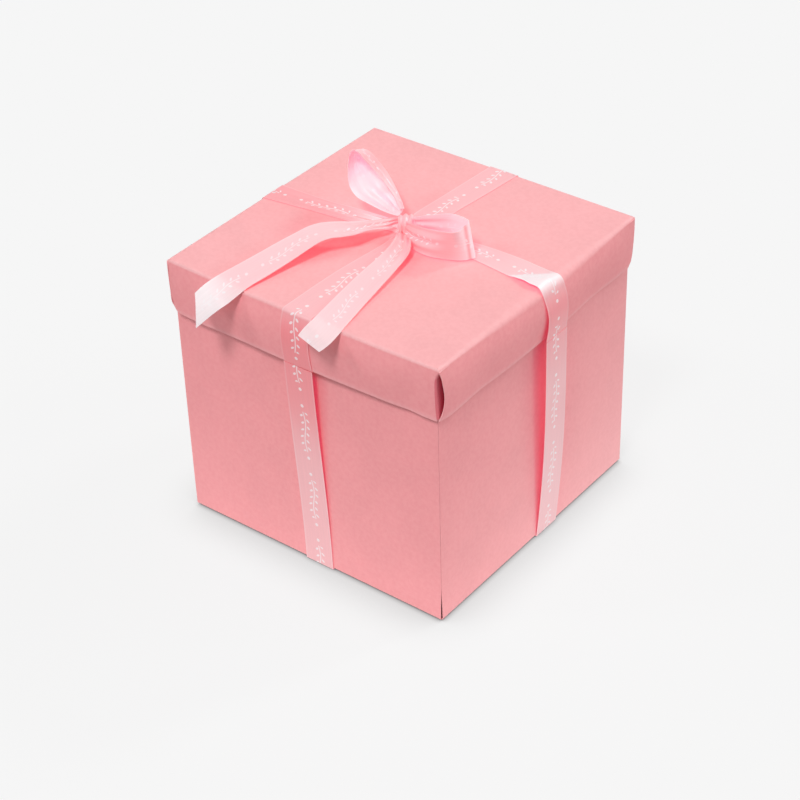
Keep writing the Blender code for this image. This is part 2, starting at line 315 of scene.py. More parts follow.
def card_material(name, colour, painted_light_colour, edge=False):
    """Matt dyed card: a faint cloudy tone, short fibres, paler where it is cut, and paler along its
    folds and hem, partly as worn card and partly as painted highlight.

    The mark named top paints light: it moves the colour towards the paler second colour, on the lid's
    top, which the light falls on, round its folds, and low on the walls as painted bounce light. The
    mark named deep paints shade on the lid's glue tabs.
    """
    made, tree = new_tree(name)
    add, times = sums(tree, "ADD", "MULTIPLY")
    place = node(tree, "ShaderNodeTexCoord").outputs["Object"]
    cloud, fibre, grain, speck = (noise(tree, place, *row) for row in CARD_NOISES)
    paler = EDGE_PALE if edge else 0.0
    pair = (toward(plain, PALE_PINK, paler) for plain in (colour, painted_light_colour))
    # painted light: paler where the mark named top says
    base = mixed(tree, marked(tree, "top"), *pair)
    cloudy = ranged(tree, cloud, 0.3, 0.7, *CLOUD_TONE)
    dyed = times(cloudy, ranged(tree, speck, 0.25, 0.75, *SPECK_TONE))
    tone = mixed(tree, 1.0, base, grey_of(tree, dyed), blend="MULTIPLY")
    tone = mixed(tree, times(ranged(tree, fibre, 0.52, 0.80), FIBRE_PALE), tone, PALE_PINK)
    tone = mixed(tree, ranged(tree, speck, 0.3, 0.7, 0.0, SPECK_PALE), tone, PALE_PINK)
    # painted shade: the mark named deep darkens the glue tabs inside the lid
    tone = mixed(tree, marked(tree, "deep"), tone, PAINTED_SHADE_PINK)
    # paler along folds: partly worn card, partly painted highlight
    wear_and_highlight = times(marked(tree, "fold"), ranged(tree, grain, 0.35, 0.65, *FOLD_PALE))
    inputs = {
        "Base Color": mixed(tree, wear_and_highlight, tone, PALE_PINK),
        "Roughness": ranged(tree, grain, 0.2, 0.8, *CARD_ROUGHNESS),
        "Specular IOR Level": CARD_SPECULAR,
        "Normal": bumped(tree, *CARD_RELIEF, add(fibre, grain)),
    }
    surface = node(tree, "ShaderNodeBsdfPrincipled", inputs).outputs[0]
    return finished(made, tree, surface, colour)


# Printed sprigs, in metres: how often they come, half their length, and the stem's sway
SPRIG_REPEAT = 0.046
SPRIG_HALF = 0.0135
STEM_WAVE = 0.027
STEM_SWAY = 0.0009
STEM_EDGE = (0.00042, 0.00022)
# Their leaves stand left and right of the stem in turn, and a dot stands between two sprigs
LEAF_STEP = 0.0048
LEAF_OUT = 0.0019
LEAF_LEAN = 0.8
LEAF_HALF_WIDTH = 0.00085
LEAF_HALF_LENGTH = 0.0016
LEAF_EDGE = (1.15, 0.85)
DOT_PLACE = 0.0175
DOT_EDGE = (0.0012, 0.0009)


def printed_sprigs(tree, across, along):
    """A generic sprig with leaves and dots, printed again and again down the ribbon."""
    add, less, times, over = sums(tree, "ADD", "SUBTRACT", "MULTIPLY", "DIVIDE")
    size, wrap, power, larger = sums(tree, "ABSOLUTE", "WRAP", "POWER", "MAXIMUM")
    place = less(wrap(along, SPRIG_REPEAT, 0.0), SPRIG_REPEAT / 2)
    inside = maths(tree, "LESS_THAN", size(place), SPRIG_HALF)
    wave = maths(tree, "SINE", times(place, 2 * math.pi / STEM_WAVE))
    stem_place = less(across, times(wave, STEM_SWAY))
    stem = ranged(tree, size(stem_place), *STEM_EDGE)
    cell = less(wrap(place, LEAF_STEP / 2, 0.0), LEAF_STEP / 4)
    side = maths(tree, "SIGN", less(wrap(place, LEAF_STEP, 0.0), LEAF_STEP / 2))
    lift = less(times(stem_place, side), LEAF_OUT)
    wide = add(times(lift, LEAF_LEAN), cell)
    tall = less(lift, times(cell, LEAF_LEAN))
    leaf = add(
        power(over(size(wide), LEAF_HALF_WIDTH), 2.0),
        power(over(size(tall), LEAF_HALF_LENGTH), 2.0),
    )
    sprig = times(larger(stem, ranged(tree, leaf, *LEAF_EDGE)), inside)
    dot_place = less(size(place), DOT_PLACE)
    dot = maths(tree, "SQRT", add(power(size(dot_place), 2.0), power(size(across), 2.0)))
    return larger(sprig, ranged(tree, dot, *DOT_EDGE))


# Satin: streaks per metre across and along the ribbon, threads and selvages in metres
STREAKS_ACROSS = 900.0
STREAKS_ALONG = 26.0
STREAK_TONE = (0.975, 1.015)
THREAD_STEP = 0.00034
WARP_STEP = 0.00026
SELVAGE_FROM = 0.0084
SELVAGE_TO = 0.0089
SELVAGE_COVER = 0.14
SELVAGE_PINK = (1.0, 0.92, 0.93, 1.0)
PRINT_COVER = 0.72
WEAVE_HEIGHT = 0.3
STREAK_HEIGHT = 0.35
SELVAGE_HEIGHT = 0.8
SATIN_RELIEF = (0.25, 0.00008)
SATIN_ROUGHNESS = (0.32, 0.42)
SATIN_SPECULAR = 0.8
SATIN_SHEEN = 0.10
SATIN_SHEEN_ROUGHNESS = 0.5


def satin_material(name, free_colour, pink_and_shade_colour, print_colour, glow, let_through):
    """Satin ribbon: fine cross threads, soft streaks along it, selvages and a pale printed sprig.

    A mark at each point mixes in its deeper pink: partly the card's pink showing through where it
    lies on the card, partly painted light and shade, paler where light falls and deeper where it is
    shaded.
    The lamps shine through the thin satin, and the light that passes is a deep pink.
    """
    made, tree = new_tree(name)
    add, times, sine = sums(tree, "ADD", "MULTIPLY", "SINE")
    # painted light and shade: the deeper pink, partly the card's pink through the satin
    colour = mixed(tree, marked(tree, "pink_and_painted_light"), free_colour, pink_and_shade_colour)
    run = node(tree, "ShaderNodeUVMap", uv_map="run").outputs[0]
    across, along = node(tree, "ShaderNodeSeparateXYZ", {0: run}).outputs[:2]
    stretched = {0: times(across, STREAKS_ACROSS), 1: times(along, STREAKS_ALONG)}
    streak_place = node(tree, "ShaderNodeCombineXYZ", stretched).outputs[0]
    streak = noise(tree, streak_place, 1.0, 3.0, 0.6)
    thread = sine(times(along, 2 * math.pi / THREAD_STEP))
    warp = sine(times(across, 2 * math.pi / WARP_STEP))
    selvage = ranged(tree, maths(tree, "ABSOLUTE", across), SELVAGE_FROM, SELVAGE_TO)
    streaked = grey_of(tree, ranged(tree, streak, 0.3, 0.7, *STREAK_TONE))
    base = mixed(tree, 1.0, colour, streaked, blend="MULTIPLY")
    base = mixed(tree, times(selvage, SELVAGE_COVER), base, SELVAGE_PINK)
    motif = printed_sprigs(tree, across, along)
    base = mixed(tree, times(motif, PRINT_COVER), base, print_colour)
    raised = add(times(streak, STREAK_HEIGHT), times(selvage, SELVAGE_HEIGHT))
    height = add(times(times(thread, warp), WEAVE_HEIGHT), raised)
    bump = bumped(tree, *SATIN_RELIEF, height)
    inputs = {
        "Base Color": base,
        "Roughness": ranged(tree, streak, 0.2, 0.8, *SATIN_ROUGHNESS),
        "Specular IOR Level": SATIN_SPECULAR,
        "Sheen Weight": SATIN_SHEEN,
        "Sheen Roughness": SATIN_SHEEN_ROUGHNESS,
        "Normal": bump,
    }
    surface = node(tree, "ShaderNodeBsdfPrincipled", inputs).outputs[0]
    if glow:
        lit = node(tree, "ShaderNodeBsdfTranslucent", {"Color": base, "Normal": bump}).outputs[0]
        surface = mixed_surfaces(tree, glow, surface, lit)
    shadow = node(tree, "ShaderNodeLightPath").outputs["Is Shadow Ray"]
    passing = node(tree, "ShaderNodeBsdfTransparent", {"Color": let_through}).outputs[0]
    surface = mixed_surfaces(tree, shadow, surface, passing)
    return finished(made, tree, surface, free_colour)


class GiftBoxSizes(bpy.types.PropertyGroup):
    """Sizes that a maker would change."""

    card: FloatProperty(
        name="Card",
        description="Thickness of the card",
        default=0.0005,
        unit="LENGTH",
    )
    ribbon: FloatProperty(
        name="Ribbon",
        description="Thickness of the satin",
        default=0.00025,
        unit="LENGTH",
    )
    skirt_bow: FloatProperty(
        name="Skirt bow",
        description="How far the lid's skirts swell and flare, as a share",
        default=1.0,
        subtype="FACTOR",
    )


class GiftBoxColours(bpy.types.PropertyGroup):
    """Colours that a maker would change."""

    card: FloatVectorProperty(
        name="Card",
        description="Card of the walls and skirts",
        default=(0.950, 0.344, 0.364, 1),
        subtype="COLOR",
        size=4,
    )
    # The top card is the same card painted paler: painted light on the lid's top, and painted bounce
    # light low on the walls
    painted_light_card: FloatVectorProperty(
        name="Top card",
        description="Card of the lid's top",
        default=(0.955, 0.448, 0.460, 1),
        subtype="COLOR",
        size=4,
    )
    inner_card: FloatVectorProperty(
        name="Inner card",
        description="Card of the layer inside",
        default=(0.955, 0.530, 0.545, 1),
        subtype="COLOR",
        size=4,
    )
    satin: FloatVectorProperty(
        name="Satin",
        description="Ribbon where it stands free",
        default=(0.985, 0.860, 0.880, 1),
        subtype="COLOR",
        size=4,
    )
    # Deeper satin: where the card shows through it, and painted shade where the satin stands free
    lying_satin: FloatVectorProperty(
        name="Lying satin",
        description="Ribbon where it lies tight on the card",
        default=(0.950, 0.235, 0.262, 1),
        subtype="COLOR",
        size=4,
    )
    printed: FloatVectorProperty(
        name="Print",
        description="Printed sprigs",
        default=(0.98, 0.90, 0.92, 1),
        subtype="COLOR",
        size=4,
    )


# Each satin: how far light glows through it, and the colour of the light that passes it
SATINS = {
    "satin_laid": (0.0, (0.85, 0.20, 0.52, 1)),
    "satin_tail": (0.12, (0.85, 0.17, 0.28, 1)),
    "satin_doubled": (0.0, (0.10, 0.03, 0.04, 1)),
    "satin_loop": (0.25, (0.95, 0.48, 0.60, 1)),
}
MATERIALS = {}


def material(name):
    """Makes each finish once."""
    if name in MATERIALS:
        return MATERIALS[name]
    colours = bpy.context.scene.gift_box_colours
    if name in SATINS:
        shown = (tuple(colour) for colour in (colours.satin, colours.lying_satin, colours.printed))
        made = satin_material(name, *shown, *SATINS[name])
    elif name in ("pink_card", "pink_card_edge"):
        edge = name == "pink_card_edge"
        made = card_material(name, tuple(colours.card), tuple(colours.painted_light_card), edge)
    elif name == "inner_card":
        made = card_material(name, tuple(colours.inner_card), tuple(colours.inner_card))
    else:
        raise ValueError(f"no finish is called {name}")
    MATERIALS[name] = made
    return made


# Lid. Distances in millimetres: how far each skirt stands out at its bottom edge
SKIRT_FLARE = {
    "front": (
        (-90, 0.3), (-84, 0.9), (-72, 1.7), (-40, 1.8), (-10, 2.5), (12, 2.3),
        (41, 1.7), (63, 1.0), (72, 0.3), (82, 0.7), (90, 0.2),
    ),
    "right": (
        (-90, 0.2), (-84, 1.2), (-72, 1.3), (-53, 0.5), (-39, 1.2),
        (0, 1.4), (23, 1.0), (52, -0.6), (76, -0.3), (90, -0.6),
    ),
    "back": ((-90, 0.2), (-60, 1.1), (-5, 1.8), (50, 1.0), (90, 0.2)),
    "left": ((-90, 0.2), (-50, 0.8), (3, 1.5), (60, 0.9), (90, 0.2)),
}
# How far each skirt swells below its fold, most two fifths of the way down
SWELL_RISE = 0.75
SKIRT_SWELL = {
    "front": ((-90, 0.5), (-65, 2.6), (0, 3.0), (65, 2.6), (90, 0.5)),
    "right": ((-90, 1.6), (-70, 2.2), (-20, 2.7), (7, 2.7), (35, 2.7), (70, 2.2), (90, 0.4)),
    "back": ((-90, 0.2), (0, 1.0), (90, 0.2)),
    "left": ((-90, 0.2), (0, 1.0), (90, 0.2)),
}
# Radius of the fold along each edge
SKIRT_FOLD = {
    "front": ((-90, 1.4), (0, 1.7), (90, 1.4)),
    "right": ((-90, 1.4), (-60, 2.2), (-15, 4.2), (8, 5.2), (30, 4.2), (65, 2.4), (90, 1.4)),
    "back": ((-90, 1.4), (0, 1.6), (90, 1.4)),
    "left": ((-90, 1.4), (0, 1.6), (90, 1.4)),
}
# How far each skirt's two ends stop short of the corners, by depth below the top
SQUARE_END = ((0, 0.0), (1.4, 0.0), (20, 0.6), (28, 1.0), (31.5, 2.6))
SKIRT_ENDS = {
    "front": (
        (
            (0, 0.4), (1.4, 0.4), (4, 1.4), (8, 1.6),
            (18, 1.7), (25, 2.4), (28.5, 3.4), (31.5, 5.2),
        ),
        (
            (0, -0.2), (1.4, -0.2), (2.6, 0.7), (5, 1.5),
            (10, 1.7), (20, 1.6), (27, 1.4), (31.5, 1.0),
        ),
    ),
    "right": (
        (
            (0, 0.0), (1.4, 0.0), (3.5, 0.9), (10, 1.9), (20, 3.0),
            (25, 2.6), (28.5, 1.6), (30.2, 0.5), (31.5, 0.3),
        ),
        ((0, 0.0), (1.4, 0.0), (20, 0.5), (26, 1.0), (29, 2.0), (31.5, 4.2)),
    ),
    "back": (
        ((0, 0.4), (1.4, 0.4), (4, 1.4), (20, 1.7), (26, 2.2), (29, 3.0), (31.5, 4.6)),
        ((0, 0.4), (1.4, 0.4), (4, 1.4), (20, 1.7), (28, 2.0), (31.5, 3.2)),
    ),
    "left": (SQUARE_END, SQUARE_END),
}
FLARE_RISE = 0.7
FOLD_END_RADIUS = 1.4
FOLD_ROWS = 6
# How soon the swell comes in round the fold: 1 is evenly, less is sooner
FOLD_SWELL = 0.4
# Paler card along the fold and at the hem: partly wear, partly painted highlight
FOLD_WEAR_AND_HIGHLIGHT = 0.75
SKIRT_ROWS = 13
HEM_EDGE = 0.7
HEM_WEAR_AND_HIGHLIGHT = 0.55
EDGE_COLUMNS = 60
EDGE_CROWDING = 0.09
# Glue tabs: rows from above the hem to below the top, and columns round the fold and inward
TAB_REACH = 10.0
TAB_FOLD = 0.8
TAB_ROWS = 13
TAB_ABOVE_HEM = 1.2
TAB_BELOW_TOP = 1.5
TAB_FOLD_COLUMNS = 5
TAB_FLAT_COLUMNS = 6
TAB_FLAT_START = 0.15
# A tab's free edge: its middle's depth, half its height, and its cut corners
TAB_MIDDLE = 14.5
TAB_HALF = 13.0
TAB_STRAIGHT_HALF = 9.0
TAB_TAPER = 2.2
TAB_STRAIGHT_TAPER = 0.4
# A tab's painted shade: what its fold has, how many columns it deepens over, and where it begins
TAB_FOLD_SHADE = 0.55
TAB_SHADE_COLUMNS = 2.5
TAB_SHADE_FROM = 2.5
TAB_SHADE_OVER = 4.0


def skirt_point(side, along, depth):
    """How far out a skirt stands at a place along it, this far below the top."""
    share = depth / SKIRT_DEPTH
    bow = bpy.context.scene.gift_box_sizes.skirt_bow
    flare = through(SKIRT_FLARE[side], along) * share**FLARE_RISE
    swell = through(SKIRT_SWELL[side], along) * np.sin(math.pi * np.clip(share, 0, 1) ** SWELL_RISE)
    return LID_HALF + bow * (flare + swell)


def lid_edge_places():
    """Places along a lid edge, closer together near its ends."""
    share = np.linspace(0, 1, EDGE_COLUMNS + 1)
    share = share - EDGE_CROWDING * np.sin(2 * math.pi * share)
    reach = LID_HALF - FOLD_END_RADIUS
    return reach * (2 * share - 1)


def skirt_ends(side, low_depth, high_depth):
    """How far a skirt's two ends stop short of the corners at these depths."""
    low, high = SKIRT_ENDS[side]
    return through(low, low_depth), through(high, high_depth)


def skirt_grid(side):
    """One skirt with its fold, from its bottom edge up to where the top begins."""
    places = lid_edge_places()
    radius = through(SKIRT_FOLD[side], places)
    reach = LID_HALF - FOLD_END_RADIUS
    rows, folds, painted_light_shares = [], [], []
    for step in range(SKIRT_ROWS, 0, -1):
        depth = radius + step / (SKIRT_ROWS - 1) * (SKIRT_DEPTH - HEM_EDGE - radius)
        if step == SKIRT_ROWS:
            depth = np.full_like(radius, SKIRT_DEPTH)
        low_end, high_end = skirt_ends(side, depth[0], depth[-1])
        along = np.interp(places, (-reach, reach), (-LID_HALF + low_end, LID_HALF - high_end))
        rows.append(side_points(side, along, skirt_point(side, along, depth), LID_TOP - depth))
        folds.append(np.full(len(places), HEM_WEAR_AND_HIGHLIGHT if step >= SKIRT_ROWS - 1 else 0.0))
        painted_light_shares.append(np.zeros(len(places)))
    low_end, high_end = skirt_ends(side, radius[0], radius[-1])
    for step in range(FOLD_ROWS, -1, -1):
        angle = math.pi / 2 * step / FOLD_ROWS
        turned = math.sin(angle)
        low_reach = reach + (FOLD_END_RADIUS - low_end) * turned
        high_reach = reach + (FOLD_END_RADIUS - high_end) * turned
        along = np.interp(places, (-reach, reach), (-low_reach, high_reach))
        outward = LID_HALF - radius + radius * turned
        outward = outward + (skirt_point(side, along, radius) - LID_HALF) * turned**FOLD_SWELL
        level = LID_TOP - radius * (1 - math.cos(angle))
        rows.append(side_points(side, along, outward, level))
        wear_and_highlight = FOLD_WEAR_AND_HIGHLIGHT * math.sin(2 * angle)
        folds.append(np.full(len(places), wear_and_highlight) * FOLD_END_RADIUS / radius)
        # painted light: the lid's top colour runs round the fold
        painted_light_shares.append(np.full(len(places), math.cos(angle)))
    return np.array(rows), np.array(folds), np.array(painted_light_shares)


def lid_top_grid():
    """The lid's top, inside its four folds."""
    places = lid_edge_places()
    reach = LID_HALF - FOLD_END_RADIUS
    share = (places + reach) / (2 * reach)
    low_x = -(LID_HALF - through(SKIRT_FOLD["left"], -places))
    high_x = LID_HALF - through(SKIRT_FOLD["right"], places)
    low_y = -(LID_HALF - through(SKIRT_FOLD["front"], places))
    high_y = LID_HALF - through(SKIRT_FOLD["back"], -places)
    x = low_x[:, None] * (1 - share)[None, :] + high_x[:, None] * share[None, :]
    y = low_y[None, :] * (1 - share)[:, None] + high_y[None, :] * share[:, None]
    z = np.full_like(x, LID_TOP)
    return np.stack([x, y, z], axis=-1)


def tab_depths():
    """How far below the top the rows of a glue tab lie, from its lowest up."""
    return np.linspace(SKIRT_DEPTH - TAB_ABOVE_HEM, TAB_BELOW_TOP, TAB_ROWS)


def tab_grid(side, end):
    """A glue tab: it folds in from a skirt's end and lies behind the next skirt."""
    rows = []
    for depth in tab_depths():
        along = LID_HALF - through(SKIRT_ENDS[side][1 if end > 0 else 0], depth)
        outward = float(skirt_point(side, end * along, depth))
        away = abs(depth - TAB_MIDDLE)
        taper = TAB_TAPER * ease(away / TAB_HALF)
        taper = taper * (1 if away > TAB_STRAIGHT_HALF else TAB_STRAIGHT_TAPER)
        bends = np.linspace(0, math.pi / 2, TAB_FOLD_COLUMNS)
        run = [along + TAB_FOLD * math.sin(bend) for bend in bends]
        out = [outward - TAB_FOLD * (1 - math.cos(bend)) for bend in bends]
        for step in np.linspace(TAB_FLAT_START, 1, TAB_FLAT_COLUMNS):
            run.append(along + TAB_FOLD)
            out.append(outward - TAB_FOLD - (TAB_REACH - taper) * step)
        if end < 0:
            run, out = run[::-1], out[::-1]
        rows.append(side_points(side, end * np.array(run), np.array(out), LID_TOP - depth))
    return np.array(rows)


def tab_painted_shade(end):
    """How much painted shade a tab's points have: full inside the lid, none at the top of its fold.
    """
    past_fold = np.arange(TAB_FOLD_COLUMNS + TAB_FLAT_COLUMNS) - (TAB_FOLD_COLUMNS - 1)
    inward = np.clip(past_fold / TAB_SHADE_COLUMNS, 0, 1)
    if end < 0:
        inward = inward[::-1]
    lower = ease((tab_depths()[:, None] - TAB_SHADE_FROM) / TAB_SHADE_OVER)
    return (TAB_FOLD_SHADE + (1 - TAB_FOLD_SHADE) * inward) * lower


def pink_card_finishes():
    """The card's face, and its cut edge."""
    return [material("pink_card"), material("pink_card_edge")]


class GIFTBOX_OT_lid(bpy.types.Operator):
    """Make the lid: one sheet of card with four folded skirts and its glue tabs"""

    bl_idname = "giftbox.lid"
    bl_label = "Lid"

    def execute(self, context):
        grids, folds, painted_light_shares, painted_shades = [lid_top_grid()], [0.0], [1.0], [0.0]
        for side in SIDES:
            grid, fold, top = skirt_grid(side)
            grids.append(grid)
            folds.append(fold)
            painted_light_shares.append(top)
            painted_shades.append(0.0)
        for side in ("front", "back"):
            for end in (-1, 1):
                grids.append(tab_grid(side, end))
                folds.append(0.0)
                painted_light_shares.append(0.0)
                painted_shades.append(tab_painted_shade(end))
        # top paints light on the lid's top and round its folds; deep paints shade on the glue tabs
        lid = sheet_object("lid_card", grids, {"fold": folds, "top": painted_light_shares, "deep": painted_shades})
        thicken(lid, context.scene.gift_box_sizes.card, -1, pink_card_finishes())
        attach(lid, "lid")
        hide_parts("lid")
        return {"FINISHED"}


# Outer walls: how far each bows out at mid height, and how far its ends draw back at the foot
WALL_BOW = {"front": 0.3, "right": 0.6, "back": 0.35, "left": 0.9}
WALL_DRAW_BACK = {
    "front": (0.15, 0.55),
    "right": (0.65, 0.15),
    "back": (0.15, 0.15),
    "left": (0.15, 0.15),
}
WALL_DRAW_BACK_HEIGHT = 1 / 6
WALL_FOLD = 0.8
WALL_FOLD_ROWS = 5
WALL_ROWS = 31
WALL_COLUMNS = 41
# How full a wall's bow is towards its ends: less is fuller
WALL_FULLNESS = 0.6
# Share of the card that the score along a fold takes away
WALL_SCORE = 0.5
WALL_SEAM = 0.06
# Painted light on each wall, as a share of the paler top card: at its foot, where the floor throws
# light back, at its far end, and at both
WALL_PAINTED_LIGHT = {
    "front": (0.25, 0.0, 0.0),
    "right": (0.55, 0.28, 0.35),
    "back": (0.4, 0.0, 0.0),
    "left": (0.4, 0.0, 0.0),
}
WALL_PAINTED_LIGHT_RISE = 1.3


def wall_painted_light(side, rows, columns):
    """How much painted light each point of a wall has, from its foot up and from its near end on."""
    low = np.linspace(1, 0, rows)[:, None] ** WALL_PAINTED_LIGHT_RISE
    far = np.linspace(0, 1, columns)[None, :]
    foot, end, both = WALL_PAINTED_LIGHT[side]
    return foot * low + end * far + both * low * far


def wall_grids(side, card):
    """The outer face and the inner face of a wall, mitred where it meets its neighbours."""
    bends = np.linspace(0, math.pi / 2, WALL_FOLD_ROWS)
    levels = list(WALL_BOTTOM + WALL_FOLD * (1 - np.cos(bends)))
    levels += list(np.linspace(WALL_BOTTOM + WALL_FOLD, WALL_TOP, WALL_ROWS))[1:]
    share = np.linspace(-1, 1, WALL_COLUMNS)
    faces = []
    for inset in (0.0, card):
        rows = []
        for level in levels:
            rise = level - WALL_BOTTOM
            height = rise / (WALL_TOP - WALL_BOTTOM)
            draw = np.array(WALL_DRAW_BACK[side]) * (1 - ease(height / WALL_DRAW_BACK_HEIGHT))
            low_end, high_end = WALL_HALF - draw - WALL_SEAM - inset
            along = np.interp(share, (-1, 1), (-low_end, high_end))
            fullness = (1 - share**2) ** WALL_FULLNESS
            bow = WALL_BOW[side] * math.sin(math.pi * min(1.0, height)) * fullness
            outward = WALL_HALF - inset
            if rise < WALL_FOLD:
                angle = math.acos(1 - rise / WALL_FOLD)
                radius = WALL_FOLD - inset * (1 - WALL_SCORE * math.sin(2 * angle))
                outward = WALL_HALF - WALL_FOLD + radius * math.sin(angle)
                level = WALL_BOTTOM + WALL_FOLD - radius * math.cos(angle)
            rows.append(side_points(side, along, outward + bow, level))
        faces.append(np.array(rows))
    return faces


def shell_object(name, outer, inner, finishes, painted_wall_light):
    """A closed sheet between two grids of the same size, with a cut edge all round."""
    rows, columns = outer.shape[:2]
    builder = bmesh.new()
    top = builder.verts.layers.float.new("top")
    skins = []
    for grid in (outer, inner):
        skins.append([[builder.verts.new(point * MM) for point in row] for row in grid])
        for i in range(rows):
            for j in range(columns):
                # painted light: the mark named top makes the card paler
                skins[-1][i][j][top] = float(painted_wall_light[i, j])
    front, back = skins
    for i in range(rows - 1):
        for j in range(columns - 1):
            builder.faces.new((front[i][j], front[i][j + 1], front[i + 1][j + 1], front[i + 1][j]))
            builder.faces.new((back[i][j], back[i + 1][j], back[i + 1][j + 1], back[i][j + 1]))
    rim = [(0, j) for j in range(columns)] + [(i, columns - 1) for i in range(1, rows)]
    rim += [(rows - 1, j) for j in range(columns - 2, -1, -1)]
    rim += [(i, 0) for i in range(rows - 2, 0, -1)]
    for (a, b), (c, d) in zip(rim, rim[1:] + rim[:1]):
        face = builder.faces.new((front[c][d], front[a][b], back[a][b], back[c][d]))
        face.material_index = 1
    obj = object_from(builder, name)
    for finish in finishes:
        obj.data.materials.append(finish)
    shade_with_creases(obj.data)
    return obj


class GIFTBOX_OT_outer_walls(bpy.types.Operator):
    """Make the four outer walls, each with a rounded fold at its foot"""

    bl_idname = "giftbox.outer_walls"
    bl_label = "Outer walls"

    def execute(self, context):
        card = context.scene.gift_box_sizes.card / MM
        for side in SIDES:
            outer, inner = wall_grids(side, card)
            # painted light, paler low on each wall and towards the right wall's far end
            painted_wall_light = wall_painted_light(side, *outer.shape[:2])
            wall = shell_object(f"{side}_wall_card", outer, inner, pink_card_finishes(), painted_wall_light)
            start = side_points(side, 0, WALL_HALF - WALL_FOLD, WALL_BOTTOM) * MM
            end = side_points(side, 0, WALL_HALF, WALL_BOTTOM + WALL_FOLD) * MM
            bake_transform(wall)
            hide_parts(f"outer_{side}_wall")
        return {"FINISHED"}


class GIFTBOX_OT_inner_card(bpy.types.Operator):
    """Finish the bases, the second layer and the middle box with dyed card"""

    bl_idname = "giftbox.inner_card"
    bl_label = "Inner card"

    def execute(self, context):
        finishes = dict.fromkeys(("outer_base", "centre_box", "centre_box_lid"), "pink_card")
        finishes["inner_base"] = "inner_card"
        for side in SIDES:
            finishes[f"inner_{side}_wall"] = "inner_card"
        for name, finish in finishes.items():
            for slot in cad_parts[name].material_slots:
                slot.material = material(finish)
        return {"FINISHED"}


# Ribbon: half its width in millimetres, its faces across it, and its gathers
RIBBON_HALF = 9.5
RIBBON_COLUMNS = 20
RIBBON_WELD = 0.005
CURVE_STEPS = 6
PLEATS = 2.5
PLEAT_SHIFT = 0.4
# How far the satin is moved to its deeper pink, from 0 to 1: partly the card's pink showing through
# where it lies on the card, partly painted light and shade
KNOT_DEEP_SHARE = 0.35
WALL_PINK_AND_LIGHT = {
    "front": ((0.0, 0.58), (0.3, 0.61), (0.55, 0.65), (0.65, 0.72), (0.75, 0.84), (1.0, 0.96)),
    "right": ((0.0, 0.50), (0.5, 0.53), (0.63, 0.58), (0.78, 0.58), (0.87, 0.66), (1.0, 0.78)),
    "back": ((0.0, 0.50), (0.5, 0.60), (1.0, 0.80)),
    "left": ((0.0, 0.50), (0.5, 0.60), (1.0, 0.80)),
}
TOP_PINK_AND_LIGHT = {"front": 0.58, "right": 0.45, "back": 0.62, "left": 0.80}
FACET_PAINTED_HIGHLIGHT = 0.04
SKIRT_PINK_AND_SHADE = 1.0
HEM_PINK_AND_SHADE = {"front": 1.0, "right": 0.78, "back": 1.0, "left": 1.0}
GATHER_PINK_AND_HIGHLIGHT = 0.15
SHOWS_UNDER = 0.6


def catmull_rom(rows, steps):
    """Reads a smooth curve through rows of numbers, with this many steps between two rows."""
    rows = np.array(rows, float)
    padded = np.vstack([2 * rows[0] - rows[1], rows, 2 * rows[-1] - rows[-2]])
    smooth = []
    for index in range(1, len(padded) - 2):
        before, start, end, after = padded[index - 1 : index + 3]
        for step in range(steps):
            t = step / steps
            bend = (-before + 3 * start - 3 * end + after) * t**3
            bend = bend + (2 * before - 5 * start + 4 * end - after) * t**2 + (end - before) * t
            smooth.append(start + bend / 2)
    smooth.append(rows[-1])
    return np.array(smooth)


def unit(vectors):
    """Vectors at a length of 1."""
    vectors = np.asarray(vectors, float)
    return vectors / np.maximum(np.linalg.norm(vectors, axis=-1, keepdims=True), 1e-9)


def ribbon_grid(left, right, cup=0.0, pleat=0.0, start=0.0):
    """A strip between two edges, cupped between them and pleated, with each point's place on it.

    cup is how far its middle rises off the straight line, pleat how deep the gathers are.
    """
    left, right = np.asarray(left, float), np.asarray(right, float)
    middle = (left + right) / 2
    along = unit(np.gradient(middle, axis=0))
    across = unit(right - left)
    normal = unit(np.cross(across, along))
    share = np.linspace(0, 1, RIBBON_COLUMNS + 1)
    cup = np.broadcast_to(cup, len(left))[:, None]
    pleat = np.broadcast_to(pleat, len(left))[:, None]
    gathers = np.sin(2 * math.pi * PLEATS * share + PLEAT_SHIFT) * np.sin(math.pi * share) ** 0.5
    rise = cup * 4 * share * (1 - share) + pleat * gathers
    grid = left[:, None] + (right - left)[:, None] * share[None, :, None]
    grid = grid + normal[:, None] * rise[..., None]
    steps = np.linalg.norm(np.diff(middle, axis=0), axis=1)
    travelled = np.concatenate([[0], np.cumsum(steps)]) * MM + start
    run = np.zeros((*grid.shape[:2], 2))
    run[..., 0] = (share[None, :] * 2 - 1) * RIBBON_HALF * MM
    run[..., 1] = travelled[:, None]
    return grid, run


def ribbon_object(name, grid, run, finish, pink_and_painted_light):
    """A ribbon piece, with a share of its deeper pink for each row or point: partly the card's pink
    showing through, partly painted light and shade.
    """
    pink_and_painted_light = np.asarray(pink_and_painted_light, float)
    if pink_and_painted_light.ndim < 2:
        pink_and_painted_light = np.broadcast_to(pink_and_painted_light, len(grid))[:, None]
    ribbon = sheet_object(name, [grid], {"pink_and_painted_light": [pink_and_painted_light]}, runs=[run], weld=RIBBON_WELD)
    thicken(ribbon, bpy.context.scene.gift_box_sizes.ribbon, 0, [material(finish)])
    return ribbon


